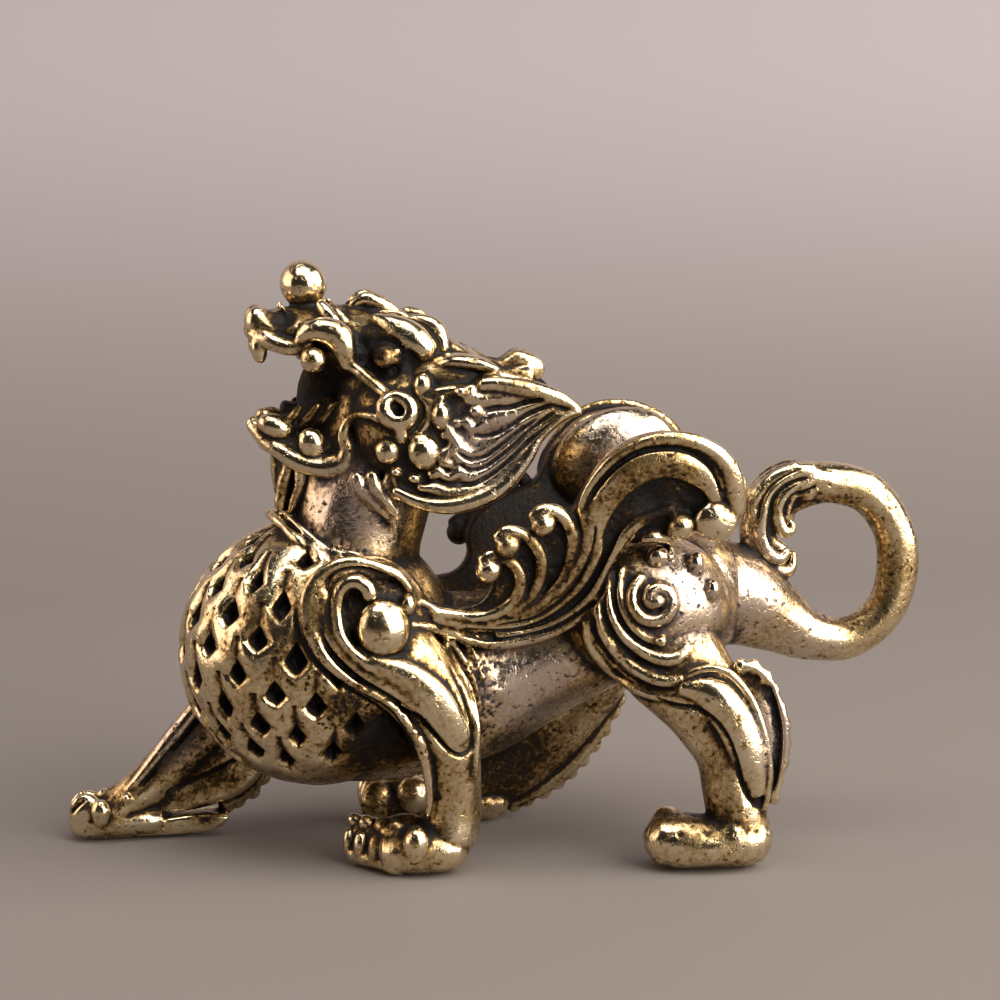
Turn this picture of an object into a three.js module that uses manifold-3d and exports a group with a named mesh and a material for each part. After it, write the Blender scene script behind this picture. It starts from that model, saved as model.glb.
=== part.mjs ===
// A striding pixiu, cast in brass as one piece: head thrown back, wings half raised, tail in a ring.
// Millimetres, +Z up, the head towards -X and the flank with the raised near wing towards -Y.
import * as THREE from "three";
import { mergeVertices } from "three/addons/utils/BufferGeometryUtils.js";
import Module from "manifold-3d";

const wasm = await Module();
wasm.setup();

// Driving dimensions
const chest = { centre: [-12.7, 0, 14.4], radii: [9.7, 9.0, 9.4] };
const scale = { first: [223, 25], across: [17, -10], down: [-9, -15], width: 1.4, height: 1.9, depth: 0.85 };
const pearlRadius = 1.65;
const bodyWidth = { chest: 8, waist: 5.6, rump: 6.4 };
const hip = { centre: [9.3, -4.2, 17.7], radii: [6.1, 4.5, 5.2] };
const spiral = { centre: [9.4, 0, 19.1], boss: 1.4, rings: [2.35, 3.1, 3.85, 4.6], ridge: 0.34 };
const tailTube = 1.5;
const wing = { rootY: -6.4, rootZ: 16.2, lean: 0.26, thickness: 1.7 };
const solePress = 0.3;
const triangles = 9700;

const degrees = Math.PI / 180;
const brassLook = { color: 0xb08a3e, metalness: 1, roughness: 0.34 };

// Turns a closed three.js geometry into a solid that can be joined and cut.
function solidFrom(geometry) {
  const bare = geometry.clone();
  bare.deleteAttribute("normal");
  bare.deleteAttribute("uv");
  const merged = mergeVertices(bare, 1e-4);
  return new wasm.Manifold(
    new wasm.Mesh({
      numProp: 3,
      vertProperties: new Float32Array(merged.attributes.position.array),
      triVerts: new Uint32Array(merged.index.array),
    }),
  );
}

// Skins a row of closed rings, with a point at each end.
function skin(rings, startTip, endTip) {
  const sides = rings[0].length;
  const points = [...rings.flat(), startTip, endTip];
  const start = points.length - 2;
  const end = points.length - 1;
  const faces = [];
  for (let s = 0; s < sides; s++) {
    const next = (s + 1) % sides;
    faces.push(start, next, s);
    for (let r = 0; r + 1 < rings.length; r++) {
      const a = r * sides;
      const b = a + sides;
      faces.push(a + s, a + next, b + next, a + s, b + next, b + s);
    }
    const last = (rings.length - 1) * sides;
    faces.push(end, last + s, last + next);
  }
  const geometry = new THREE.BufferGeometry();
  const numbers = points.flatMap((p) => p.toArray());
  geometry.setAttribute("position", new THREE.Float32BufferAttribute(numbers, 3));
  geometry.setIndex(faces);
  const made = solidFrom(geometry);
  if (made.volume() > 0) return made;
  geometry.setIndex(faces.map((_, i) => faces[i - (i % 3) + (2 - (i % 3))]));
  return solidFrom(geometry);
}

// A round bar along a smooth line. A station is [x, y, z, radius in the line's plane, radius across it].
function bar(stations, { sides = 6, perSpan = 2, across = [0, 1, 0], blunt = 0.55 } = {}) {
  const line = new THREE.CatmullRomCurve3(stations.map((s) => new THREE.Vector3(s[0], s[1], s[2])));
  const size = new THREE.CatmullRomCurve3(
    stations.map((s) => new THREE.Vector3(s[3], s[4] ?? s[3], 0)),
    false,
    "catmullrom",
  );
  const count = perSpan * (stations.length - 1);
  const side = new THREE.Vector3(...across);
  const ringAt = (t) => {
    const middle = line.getPoint(t);
    const along = line.getTangent(t);
    const radius = size.getPoint(t);
    const out = side.clone().addScaledVector(along, -side.dot(along)).normalize();
    const up = new THREE.Vector3().crossVectors(out, along);
    const ring = [];
    for (let i = 0; i < sides; i++) {
      const angle = (2 * Math.PI * (i + 0.5)) / sides;
      ring.push(
        middle
          .clone()
          .addScaledVector(up, Math.cos(angle) * radius.x)
          .addScaledVector(out, Math.sin(angle) * radius.y),
      );
    }
    return ring;
  };
  const rings = [];
  for (let i = 0; i <= count; i++) rings.push(ringAt(i / count));
  const tip = (t, sign) => {
    const radius = size.getPoint(t);
    return line.getPoint(t).addScaledVector(line.getTangent(t), sign * blunt * Math.min(radius.x, radius.y));
  };
  return skin(rings, tip(0, -1), tip(1, 1));
}

// A body built of upright slices: a slice is [x, lowest z, highest z, half width].
function slices(rows, sides, perSpan) {
  const smooth = (points) => new THREE.CatmullRomCurve3(points, false, "catmullrom");
  const low = smooth(rows.map((r) => new THREE.Vector3(r[0], r[1], r[2])));
  const wide = smooth(rows.map((r) => new THREE.Vector3(r[0], r[3], 0)));
  const rings = [];
  const count = perSpan * (rows.length - 1);
  for (let i = 0; i <= count; i++) {
    const span = low.getPoint(i / count);
    const half = wide.getPoint(i / count).y;
    const ring = [];
    for (let s = 0; s < sides; s++) {
      const angle = (2 * Math.PI * s) / sides;
      const z = (span.y + span.z) / 2 + (Math.sin(angle) * (span.z - span.y)) / 2;
      ring.push(new THREE.Vector3(span.x, Math.cos(angle) * half, z));
    }
    rings.push(ring);
  }
  const [first, last] = [rows[0], rows.at(-1)];
  const startTip = new THREE.Vector3(first[0] - 0.3, 0, (first[1] + first[2]) / 2);
  const endTip = new THREE.Vector3(last[0] + 0.3, 0, (last[1] + last[2]) / 2);
  return skin(rings, startTip, endTip);
}

// An egg of given radii, tilted about the Y axis. Small beads are coarse, large swellings finer.
function egg(centre, radii, { around = 7, tilt = 0 } = {}) {
  const geometry = new THREE.SphereGeometry(1, around, Math.round(around * 0.65));
  geometry.rotateX(90 * degrees);
  geometry.scale(...(Array.isArray(radii) ? radii : [radii, radii, radii]));
  geometry.rotateY(tilt * degrees);
  geometry.translate(...centre);
  return solidFrom(geometry);
}

// A leaf-like plate cut to an outline in the side view, its outer face at y, with a small bevelled edge.
function plate(outline, y, thickness, { lean = 0, edge = 0.3, steps = 3 } = {}) {
  const curve = new THREE.CatmullRomCurve3(outline.map(([x, z]) => new THREE.Vector3(x, z, 0)), true);
  const corners = curve.getPoints(outline.length * steps).slice(0, -1);
  const shape = new THREE.Shape(corners.map((p) => new THREE.Vector2(p.x, p.y)));
  const geometry = new THREE.ExtrudeGeometry(shape, {
    depth: thickness - 2 * edge,
    steps: 1,
    bevelEnabled: true,
    bevelThickness: edge,
    bevelSize: edge,
    bevelOffset: -edge,
    bevelSegments: 1,
  });
  geometry.rotateX(90 * degrees);
  const position = geometry.getAttribute("position");
  const lowest = Math.min(...outline.map((p) => p[1]));
  for (let i = 0; i < position.count; i++) {
    const fromOuterFace = position.getY(i) + thickness - edge;
    position.setY(i, y + fromOuterFace - lean * (position.getZ(i) - lowest));
  }
  return solidFrom(geometry);
}

// The plane of a triangle as a sum of squares, so that the distance of a point to many planes adds up.
function planeTerms([ax, ay, az], [bx, by, bz], [cx, cy, cz]) {
  const edge = new THREE.Vector3(bx - ax, by - ay, bz - az);
  const normal = edge.cross(new THREE.Vector3(cx - ax, cy - ay, cz - az));
  const area = normal.length() / 2;
  if (area < 1e-12) return new Array(10).fill(0);
  const { x, y, z } = normal.normalize();
  const d = -(x * ax + y * ay + z * az);
  return [x * x, x * y, x * z, x * d, y * y, y * z, y * d, z * z, z * d, d * d].map((term) => term * area);
}

function planeCost(q, [x, y, z]) {
  return (
    q[0] * x * x + 2 * q[1] * x * y + 2 * q[2] * x * z + 2 * q[3] * x + q[4] * y * y +
    2 * q[5] * y * z + 2 * q[6] * y + q[7] * z * z + 2 * q[8] * z + q[9]
  );
}

// The point nearest to all the planes of an edge, or the better of its ends and middle.
function meetingPoint(q, a, b) {
  const middle = a.map((value, i) => (value + b[i]) / 2);
  const choices = [a, b, middle];
  const flat = new THREE.Matrix3(q[0], q[1], q[2], q[1], q[4], q[5], q[2], q[5], q[7]);
  if (Math.abs(flat.determinant()) > 1e-7) {
    const best = new THREE.Vector3(-q[3], -q[6], -q[8]).applyMatrix3(flat.invert());
    if (best.distanceTo(new THREE.Vector3(...middle)) < 1.5) choices.push(best.toArray());
  }
  let found = choices[0];
  for (const point of choices) {
    if (planeCost(q, point) < planeCost(q, found)) found = point;
  }
  return found;
}

// Thins a closed skin to a number of triangles, always closing the edge that changes the form least.
function thinned(solid, wanted) {
  const mesh = solid.getMesh();
  const points = [];
  for (let i = 0; i < mesh.numVert; i++) {
    points.push([...mesh.vertProperties.subarray(i * mesh.numProp, i * mesh.numProp + 3)]);
  }
  const faces = [];
  for (let i = 0; i < mesh.triVerts.length; i += 3) faces.push([...mesh.triVerts.subarray(i, i + 3)]);
  const touching = points.map(() => new Set());
  const planes = points.map(() => new Array(10).fill(0));
  const stamp = points.map(() => 0);
  faces.forEach((face, index) => {
    const terms = planeTerms(...face.map((v) => points[v]));
    for (const v of face) {
      touching[v].add(index);
      terms.forEach((term, i) => (planes[v][i] += term));
    }
  });
  const neighbours = (v) => new Set([...touching[v]].flatMap((f) => faces[f]).filter((other) => other !== v));
  const queue = [];
  const offer = (a, b) => {
    const sum = planes[a].map((term, i) => term + planes[b][i]);
    const point = meetingPoint(sum, points[a], points[b]);
    const length = Math.hypot(...points[a].map((value, i) => value - points[b][i]));
    const cost = Math.max(planeCost(sum, point), 0) + 1e-5 * length;
    let at = queue.push({ a, b, cost, point, sum, when: stamp[a] + stamp[b] }) - 1;
    while (at > 0 && queue[(at - 1) >> 1].cost > queue[at].cost) {
      [queue[at], queue[(at - 1) >> 1]] = [queue[(at - 1) >> 1], queue[at]];
      at = (at - 1) >> 1;
    }
  };
  const cheapest = () => {
    const top = queue[0];
    const moved = queue.pop();
    if (queue.length === 0) return top;
    queue[0] = moved;
    let at = 0;
    for (;;) {
      let least = at;
      for (const child of [2 * at + 1, 2 * at + 2]) {
        if (child < queue.length && queue[child].cost < queue[least].cost) least = child;
      }
      if (least === at) return top;
      [queue[at], queue[least]] = [queue[least], queue[at]];
      at = least;
    }
  };
  const normalOf = (corners) => {
    const [p, q, r] = corners.map((corner) => new THREE.Vector3(...corner));
    return q.sub(p).cross(r.sub(p));
  };
  const keepsFacing = (v, other, point) => {
    for (const f of touching[v]) {
      if (faces[f].includes(other)) continue;
      const before = normalOf(faces[f].map((u) => points[u]));
      const after = normalOf(faces[f].map((u) => (u === v ? point : points[u])));
      const turned = before.dot(after) < 0.25 * before.length() * after.length();
      if (turned || after.length() < 1e-4) return false;
    }
    return true;
  };
  points.forEach((_, a) => neighbours(a).forEach((b) => a < b && offer(a, b)));
  let left = faces.length;
  while (left > wanted && queue.length > 0) {
    const { a, b, point, sum, when } = cheapest();
    if (!touching[a].size || !touching[b].size || when !== stamp[a] + stamp[b]) continue;
    const around = neighbours(b);
    if (!around.has(a)) continue;
    const shared = [...neighbours(a)].filter((v) => around.has(v));
    if (shared.length !== 2 || !keepsFacing(a, b, point) || !keepsFacing(b, a, point)) continue;
    for (const f of [...touching[b]]) {
      if (faces[f].includes(a)) {
        faces[f].forEach((v) => touching[v].delete(f));
        faces[f] = null;
        left--;
      } else {
        faces[f] = faces[f].map((v) => (v === b ? a : v));
        touching[a].add(f);
      }
    }
    touching[b].clear();
    points[a] = point;
    planes[a] = sum;
    stamp[a]++;
    for (const v of neighbours(a)) offer(a, v);
  }
  const geometry = new THREE.BufferGeometry();
  geometry.setAttribute("position", new THREE.Float32BufferAttribute(points.flat(), 3));
  geometry.setIndex(faces.filter(Boolean).flat());
  return solidFrom(geometry.toNonIndexed());
}

const join = (solids) => wasm.Manifold.union(solids);
const mirrored = (solid) => solid.mirror([0, 1, 0]);
const bothSides = (solids) => {
  const near = join(solids);
  return join([near, mirrored(near)]);
};

// Points on a circle in the side view, at a fixed y.
function arc([x, y, z], radius, from, to, count) {
  const points = [];
  for (let i = 0; i <= count; i++) {
    const angle = (from + ((to - from) * i) / count) * degrees;
    points.push([x + Math.cos(angle) * radius, y, z + Math.sin(angle) * radius]);
  }
  return points;
}

// The trunk runs from the round chest through the waist to the rump.
function trunk() {
  return slices(
    [
      [-19.5, 9.5, 20, 5],
      [-15, 6.2, 22.8, bodyWidth.chest],
      [-10, 5.1, 22.6, bodyWidth.chest],
      [-5, 5.5, 18.6, 6.6],
      [0, 7.0, 18.4, bodyWidth.waist],
      [5, 9.9, 20.6, 5.7],
      [10, 12.2, 22.4, bodyWidth.rump],
      [14, 13.2, 22.6, 5.8],
      [16, 14.0, 21.8, 4.2],
    ],
    16,
    1,
  );
}

// The chest is covered in scales, with a sunk diamond between each four of them. The rows lean: a step
// across and a step down the chest are both slanting, in degrees round and up the chest.
function scaledChest() {
  const pits = [];
  for (let p = -6; p <= 8; p++) {
    for (let q = -6; q <= 6; q++) {
      const turn = scale.first[0] + scale.across[0] * p + scale.down[0] * q;
      const height = scale.first[1] + scale.across[1] * p + scale.down[1] * q;
      if (turn < 183 || turn > 285 || height < -52 || height > 62) continue;
      pits.push(scalePit(turn * degrees, height * degrees));
    }
  }
  const bulge = egg(chest.centre, chest.radii, { around: 24 });
  return join([bulge, trunk()]).subtract(bothSides(pits));
}

function scalePit(turn, height) {
  const out = [Math.cos(turn) * Math.cos(height), Math.sin(turn) * Math.cos(height), Math.sin(height)];
  const shrink = 0.45 + 0.55 * Math.cos(height);
  const pit = new THREE.OctahedronGeometry(1);
  pit.scale(scale.depth, (scale.width / 2) * shrink, scale.height / 2);
  pit.rotateY(-height);
  pit.rotateZ(turn);
  pit.translate(...out.map((value, i) => chest.centre[i] + value * chest.radii[i]));
  return solidFrom(pit);
}

// The neck leans back, with a raised collar where it leaves the scales.
function neck() {
  const collar = [
    [-16.0, -0.6, 24.0, 0.4],
    [-14.8, -3.4, 23.2, 0.4],
    [-12.3, -5.3, 21.7, 0.4],
    [-9.5, -6.2, 21.2, 0.4],
  ];
  return join([
    bar(
      [
        [-10.5, 0, 18, 5.2, 6.0],
        [-10.2, 0, 21.5, 4.6, 5.2],
        [-9.6, 0, 24.5, 4.6, 5.0],
        [-8.6, 0, 28, 4.6, 5.2],
        [-7.6, 0, 31, 4.2, 5.2],
      ],
      { sides: 10 },
    ),
    bothSides([bar(collar, { across: [0, 0, 1] })]),
  ]);
}

// The skull, the two jaws with the open mouth between them, and the pearl on the nose.
function skull() {
  return join([
    egg([-6.6, 0, 32.6], [4.6, 5.6, 4.6], { around: 12 }),
    egg([-4.2, 0, 30.2], [4.6, 5.9, 4.9], { around: 12 }),
    bar(
      [
        [-7.0, 0, 34.4, 3.4, 4.8],
        [-10.0, 0, 35.6, 2.7, 4.0],
        [-13.0, 0, 36.5, 1.9, 3.3],
        [-15.6, 0, 36.9, 1.3, 2.5],
        [-16.7, 0, 36.8, 0.9, 1.9],
      ],
      { sides: 8 },
    ),
    bar(
      [
        [-7.2, 0, 29.6, 3.0, 4.8],
        [-10.4, 0, 29.0, 1.8, 3.9],
        [-13.4, 0, 28.7, 1.2, 3.1],
        [-16.0, 0, 29.3, 1.0, 2.2],
      ],
      { sides: 8 },
    ),
    egg([-13.5, 0, 39.75], pearlRadius, { around: 10 }),
    egg([-13.4, 0, 38.3], [1.7, 1.7, 1.0]),
    egg([-8.6, 0, 37.3], [2.3, 2.0, 1.2]),
    egg([-11.2, 0, 32.0], [2.9, 1.5, 3.4], { around: 10 }),
    bar([
      [-11.6, 0, 31.2, 0.8, 1.3],
      [-13.6, 0, 30.9, 0.7, 1.2],
      [-14.9, 0, 31.4, 0.5, 0.9],
    ]),
  ]);
}

// Everything that the face carries twice: lips, fangs, nostril curls, eyes, brows, cheek beads and ears.
function faceSide() {
  const ring = arc([-7.7, -6.8, 31.8], 1.05, 110, 470, 7);
  return [
    egg([-7.2, -2.9, 35.3], [3.6, 2.4, 2.3], { around: 8 }),
    egg([-3.8, -4.6, 33.6], [3.2, 2.2, 1.7], { around: 8 }),
    egg([-7.4, -4.0, 30.6], [3.2, 2.9, 4.0], { around: 10 }),
    ...muzzleSide(),
    ...browSide(),
    bar([
      [-10.8, -4.3, 34.7, 0.4],
      [-9.9, -4.9, 34.0, 0.42],
      [-9.1, -5.6, 33.2, 0.4],
      [-8.5, -6.2, 32.6, 0.42],
    ]),
    bar(ring.map((p) => [...p, 0.42]), { perSpan: 1 }),
    egg([-6.1, -6.5, 33.4], [0.6, 0.6, 0.8]),
    egg([-5.0, -7.1, 31.4], [0.55, 0.6, 0.85]),
    egg([-8.4, -6.1, 29.0], 0.85),
    egg([-6.1, -6.9, 28.9], [1.0, 0.9, 1.2]),
    ...earSide(),
  ];
}

// Half of the muzzle: upper lip with its bulb and fang, nostril curl, lower lip and two teeth.
function muzzleSide() {
  const across = [0, 0, 1];
  return [
    bar(
      [
        [-17.1, -0.9, 36.6, 0.5],
        [-16.2, -2.0, 36.2, 0.5],
        [-14.8, -2.9, 35.7, 0.48],
        [-13.2, -3.5, 35.4, 0.42],
      ],
      { across },
    ),
    egg([-16.7, -0.9, 37.2], [0.75, 0.8, 1.1]),
    bar([[-16.6, -1.6, 36.1, 0.5], [-16.7, -1.7, 35.4, 0.5], [-16.8, -1.7, 34.6, 0.2]]),
    bar([
      [-13.8, -3.3, 36.4, 0.5],
      [-13.2, -3.5, 37.0, 0.55],
      [-12.2, -3.8, 37.1, 0.6],
      [-11.3, -4.0, 36.6, 0.62],
      [-10.8, -4.2, 35.6, 0.6],
      [-11.0, -4.2, 34.6, 0.45],
    ]),
    egg([-13.0, -3.8, 35.1], 0.8),
    bar([[-12.7, -1.6, 38.4, 0.4], [-12.1, -2.0, 37.9, 0.4], [-11.4, -2.4, 37.3, 0.3]]),
    bar([
      [-17.0, -0.9, 30.2, 0.45],
      [-16.2, -1.7, 29.2, 0.5],
      [-14.6, -2.8, 28.2, 0.5],
      [-13.0, -3.3, 27.7, 0.58],
      [-11.6, -3.7, 27.7, 0.65],
      [-10.9, -4.0, 28.7, 0.5],
      [-11.1, -4.3, 30.1, 0.3],
      [-10.3, -4.9, 31.3, 0.3],
      [-9.1, -5.4, 31.2, 0.28],
    ]),
    egg([-15.5, -1.7, 30.2], [1.2, 0.75, 0.8], { tilt: 22 }),
    egg([-13.2, -2.9, 29.1], [0.8, 0.65, 1.0], { tilt: -25 }),
  ];
}

// The eye under the two lobes of its brow, and the crest between the brows.
function browSide() {
  return [
    egg([-8.5, -4.7, 35.2], [0.85, 0.7, 1.0]),
    bar([
      [-10.3, -1.0, 38.4, 0.45],
      [-9.4, -1.0, 38.7, 0.6],
      [-8.4, -1.0, 38.4, 0.6],
      [-7.2, -1.1, 37.7, 0.4],
    ]),
    bar([
      [-8.8, -3.4, 37.6, 0.4],
      [-8.0, -3.8, 37.2, 0.55],
      [-7.1, -4.2, 36.8, 0.7],
      [-6.2, -4.6, 36.1, 0.75],
      [-5.5, -4.8, 35.4, 0.6],
    ]),
    bar([
      [-6.4, -3.0, 37.4, 0.45],
      [-5.3, -3.4, 37.1, 0.55],
      [-4.7, -3.8, 36.4, 0.5],
      [-4.4, -4.2, 35.6, 0.35],
    ]),
  ];
}

// The ear: a pointed upper edge that runs back, and a lower edge folded in under it.
function earSide() {
  return [
    bar([
      [-4.9, -5.0, 34.6, 0.55, 0.9],
      [-3.3, -5.9, 34.85, 0.62, 1.0],
      [-2.1, -6.5, 34.7, 0.45, 0.7],
      [-1.1, -6.9, 34.4, 0.22, 0.3],
    ]),
    bar([
      [-1.5, -6.9, 34.0, 0.3],
      [-2.2, -6.9, 33.6, 0.4],
      [-3.0, -6.8, 32.9, 0.42],
      [-3.8, -6.5, 32.4, 0.4],
      [-4.5, -6.0, 32.8, 0.35],
      [-4.7, -5.6, 33.8, 0.3],
    ]),
  ];
}

// The mane sweeps back from the cheek as one leaf: a raised rim, and locks that curl up and run to its tip.
function maneSide() {
  const face = -7.4;
  const locks = [
    [[-4.4, 30.3], [-3.6, 31.1], [-2.4, 30.7], [0.4, 31.5], [3.3, 31.7]],
    [[-4.9, 28.9], [-4.0, 29.6], [-2.8, 29.1], [0.0, 30.1], [2.9, 31.4]],
    [[-5.8, 27.3], [-4.7, 28.1], [-3.3, 27.6], [-0.6, 28.7], [2.3, 30.8]],
    [[-6.9, 26.2], [-5.7, 26.8], [-4.2, 26.2], [-1.5, 27.3], [1.4, 29.8]],
    [[-4.2, 32.0], [-3.0, 32.5], [-1.6, 32.0], [1.0, 32.4], [3.8, 31.9]],
  ];
  const rim = [
    [-2.0, 33.3],
    [1.5, 33.2],
    [3.2, 32.5],
    [4.3, 31.6],
    [3.0, 31.0],
    [1.6, 29.5],
    [0.4, 27.4],
    [-1.7, 25.7],
    [-4.9, 25.2],
    [-8.0, 26.2],
  ];
  return [
    plate([...rim, [-8.2, 29.5], [-6.0, 33.0]], face, 3.2, { steps: 2, edge: 0.35 }),
    bar(rim.map(([x, z], i) => [x, face + 0.1, z, i === 3 ? 0.35 : 0.5, 0.45])),
    ...locks.map((lock) => bar(lock.map(([x, z], k) => [x, face + 0.05, z, k === 4 ? 0.25 : 0.46, 0.5]))),
    ...locks.map(([[x, z]]) => egg([x - 0.1, face, z - 0.1], [0.6, 0.6, 0.6])),
    bar([
      [-8.2, -5.6, 27.4, 0.5],
      [-9.5, -5.2, 26.4, 0.5],
      [-8.9, -5.2, 25.2, 0.4],
      [-8.1, -5.2, 24.3, 0.32],
      [-7.8, -5.2, 23.4, 0.22],
    ]),
  ];
}

// On the far side the mane rises a little higher, in a second lobe.
function farLobe() {
  const outline = [
    [-3.0, 31.5],
    [-2.6, 34.2],
    [-1.0, 34.4],
    [0.5, 33.5],
    [2.1, 34.2],
    [3.8, 33.5],
    [3.3, 32.0],
    [1.0, 30.8],
  ];
  return plate(outline, 5.0, 2.2, { steps: 2, edge: 0.6 });
}

// Four broad locks hang down the back of the head.
function nape() {
  const locks = [];
  for (const y of [-3.6, -1.2, 1.2, 3.6]) {
    locks.push(
      bar([
        [-5.4, y * 0.8, 36.2, 0.5, 0.9],
        [-2.6, y, 34.6, 0.6, 1.0],
        [-0.4, y, 31.6, 0.6, 1.0],
        [0.2, y * 1.1, 28.6, 0.5, 0.8],
        [-0.8, y * 1.1, 26.6, 0.3, 0.4],
      ]),
    );
  }
  return join(locks);
}

// Two drops of beard hang from the chin.
function beard() {
  return join([
    bar([
      [-14.9, -0.8, 28.3, 0.6],
      [-14.9, -0.8, 26.8, 0.6],
      [-15.1, -0.7, 25.3, 0.45],
      [-15.2, -0.6, 23.9, 0.3],
    ]),
    bar([[-14.1, -1.5, 27.4, 0.5], [-14.1, -1.5, 26.1, 0.5], [-14.6, -1.4, 24.5, 0.3]]),
    bar([[-15.2, 0.8, 28.4, 0.6], [-15.2, 0.9, 27.0, 0.65], [-15.3, 0.9, 25.2, 0.3]]),
  ]);
}

// The shoulder is a flat swelling framed by one long scroll, with a second scroll that hooks over a boss.
function shoulderSide() {
  return [
    egg([-9.6, -6.2, 17.2], [4.6, 3.2, 5.4], { around: 10 }),
    bar([
      [-7.4, -7.9, 19.5, 0.5],
      [-8.2, -8.2, 20.8, 0.55],
      [-9.7, -8.4, 21.8, 0.58],
      [-11.5, -8.4, 22.0, 0.6],
      [-13.0, -8.3, 21.2, 0.6],
      [-13.8, -8.3, 19.6, 0.6],
      [-13.7, -8.5, 17.8, 0.6],
      [-12.8, -8.9, 16.1, 0.58],
      [-11.4, -9.1, 14.6, 0.55],
      [-9.7, -9.2, 13.3, 0.5],
      [-8.2, -9.1, 12.0, 0.45],
      [-6.9, -8.8, 10.6, 0.4],
      [-6.2, -8.0, 8.4, 0.35],
    ]),
    bar([
      [-10.1, -8.9, 20.1, 0.4],
      [-11.0, -8.9, 20.9, 0.45],
      [-12.0, -9.0, 20.3, 0.5],
      [-12.4, -9.1, 18.8, 0.5],
      [-11.9, -9.3, 17.2, 0.52],
      [-10.5, -9.4, 15.9, 0.6],
      [-9.0, -9.4, 15.1, 0.7],
    ]),
    egg([-9.0, -8.9, 17.5], 1.65, { around: 10 }),
    egg([-7.3, -8.6, 19.1], [0.5, 0.5, 0.65]),
  ];
}

// A paw: a broad pad that is pressed a little into the ground, and a toe bent over its front edge for
// each pair of points, from its knuckle to its tip.
function paw({ heel, toes, thick = 0.66 }) {
  const lowered = ([x, y, z, ...radii]) => [x, y, z - solePress, ...radii];
  const toeBar = ([knuckle, tip]) => {
    const [x, y, z] = tip;
    const back = knuckle.map((value, i) => value + 0.8 * (value - tip[i]) * (i === 2 ? -0.6 : 1));
    return bar([
      [...back, thick],
      [...knuckle, thick],
      [x, y, z, thick],
      [x + 0.15, y, z - 1.0, thick],
    ]);
  };
  return [bar(heel.map(lowered), { sides: 8 }), ...toes.map(toeBar)];
}

function nearFrontLeg() {
  return join([
    bar(
      [
        [-8.6, -7.0, 16.2, 2.6, 2.2],
        [-6.4, -7.3, 13.4, 2.7, 2.2],
        [-4.8, -7.3, 10.6, 2.4, 2.1],
        [-4.2, -6.9, 7.6, 1.95, 1.9],
        [-4.0, -6.4, 4.8, 1.8, 1.8],
        [-4.0, -6.2, 2.0, 1.9, 2.1],
      ],
      { sides: 8 },
    ),
    bar([
      [-9.6, -9.35, 15.4, 0.6, 0.5],
      [-7.6, -9.5, 14.7, 0.95, 0.6],
      [-5.9, -9.6, 13.2, 1.15, 0.65],
      [-4.9, -9.4, 11.3, 1.05, 0.6],
      [-4.2, -8.9, 9.8, 0.5, 0.45],
    ]),
    ...paw({
      heel: [
        [-3.6, -6.3, 1.9, 1.9, 2.4],
        [-6.0, -6.2, 1.9, 1.9, 2.4],
        [-9.2, -5.6, 1.6, 1.6, 2.4],
      ],
      toes: [
        [[-10.3, -3.5, 3.7], [-11.3, -3.4, 1.9]],
        [[-9.8, -4.8, 3.7], [-10.8, -4.9, 1.9]],
        [[-8.9, -6.1, 3.6], [-9.9, -6.4, 1.8]],
        [[-7.9, -7.1, 3.4], [-8.6, -7.7, 1.7]],
      ],
    }),
    egg([-6.9, -8.1, 2.2], [1.15, 0.9, 1.35]),
  ]);
}

function farFrontLeg() {
  const sole = [[-26.5, 0.2], [-26.5, 0.9], [-22.0, 1.6], [-19.0, 1.5], [-20.5, 0.4]];
  const web = [
    [-26.0, 2.0],
    [-22.6, 6.0],
    [-17.0, 8.0],
    [-16.2, 5.2],
    [-17.6, 3.2],
    [-20.0, 2.2],
    [-23.0, 1.8],
  ];
  return join([
    bar(
      [
        [-12.0, 6.4, 14.6, 3.0, 2.4],
        [-16.2, 6.8, 11.2, 2.7, 2.2],
        [-20.2, 6.4, 7.6, 2.2, 2.0],
        [-23.8, 5.9, 4.3, 1.7, 1.8],
        [-27.0, 5.6, 1.9, 1.4, 1.8],
      ],
      { sides: 8 },
    ),
    ...paw({
      heel: [
        [-24.2, 5.7, 1.4, 1.3, 1.7],
        [-26.5, 5.6, 1.5, 1.5, 1.9],
        [-28.4, 5.5, 1.4, 1.4, 1.9],
      ],
      toes: [
        [[-28.6, 3.9, 3.0], [-29.9, 3.8, 1.5]],
        [[-28.7, 5.4, 3.1], [-30.0, 5.4, 1.5]],
        [[-28.5, 6.9, 2.9], [-29.6, 7.0, 1.5]],
      ],
    }),
    egg([-27.4, 3.9, 2.4], 0.75),
    plate(sole, 4.6, 2.4, { steps: 2, edge: 0.2 }),
    plate(web, 4.7, 2.6, { steps: 2 }),
    fin([[-16.4, 5.0], [-17.5, 3.3], [-19.2, 2.4]], 6.0, 0.95),
  ]);
}

// A row of rounded tufts along the back edge of a leg.
function fin(points, y, radius) {
  const line = new THREE.CatmullRomCurve3(points.map(([x, z]) => new THREE.Vector3(x, y, z)));
  const count = Math.round(line.getLength() / (radius * 1.5));
  const tufts = [bar(points.map(([x, z]) => [x, y, z, 0.75 * radius, 0.9 * radius]), { sides: 5 })];
  for (let i = 0; i <= count; i++) {
    const p = line.getPointAt(i / count);
    tufts.push(egg([p.x, p.y, p.z], [radius, radius * 0.7, radius], { around: 5 }));
  }
  return join(tufts);
}

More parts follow.
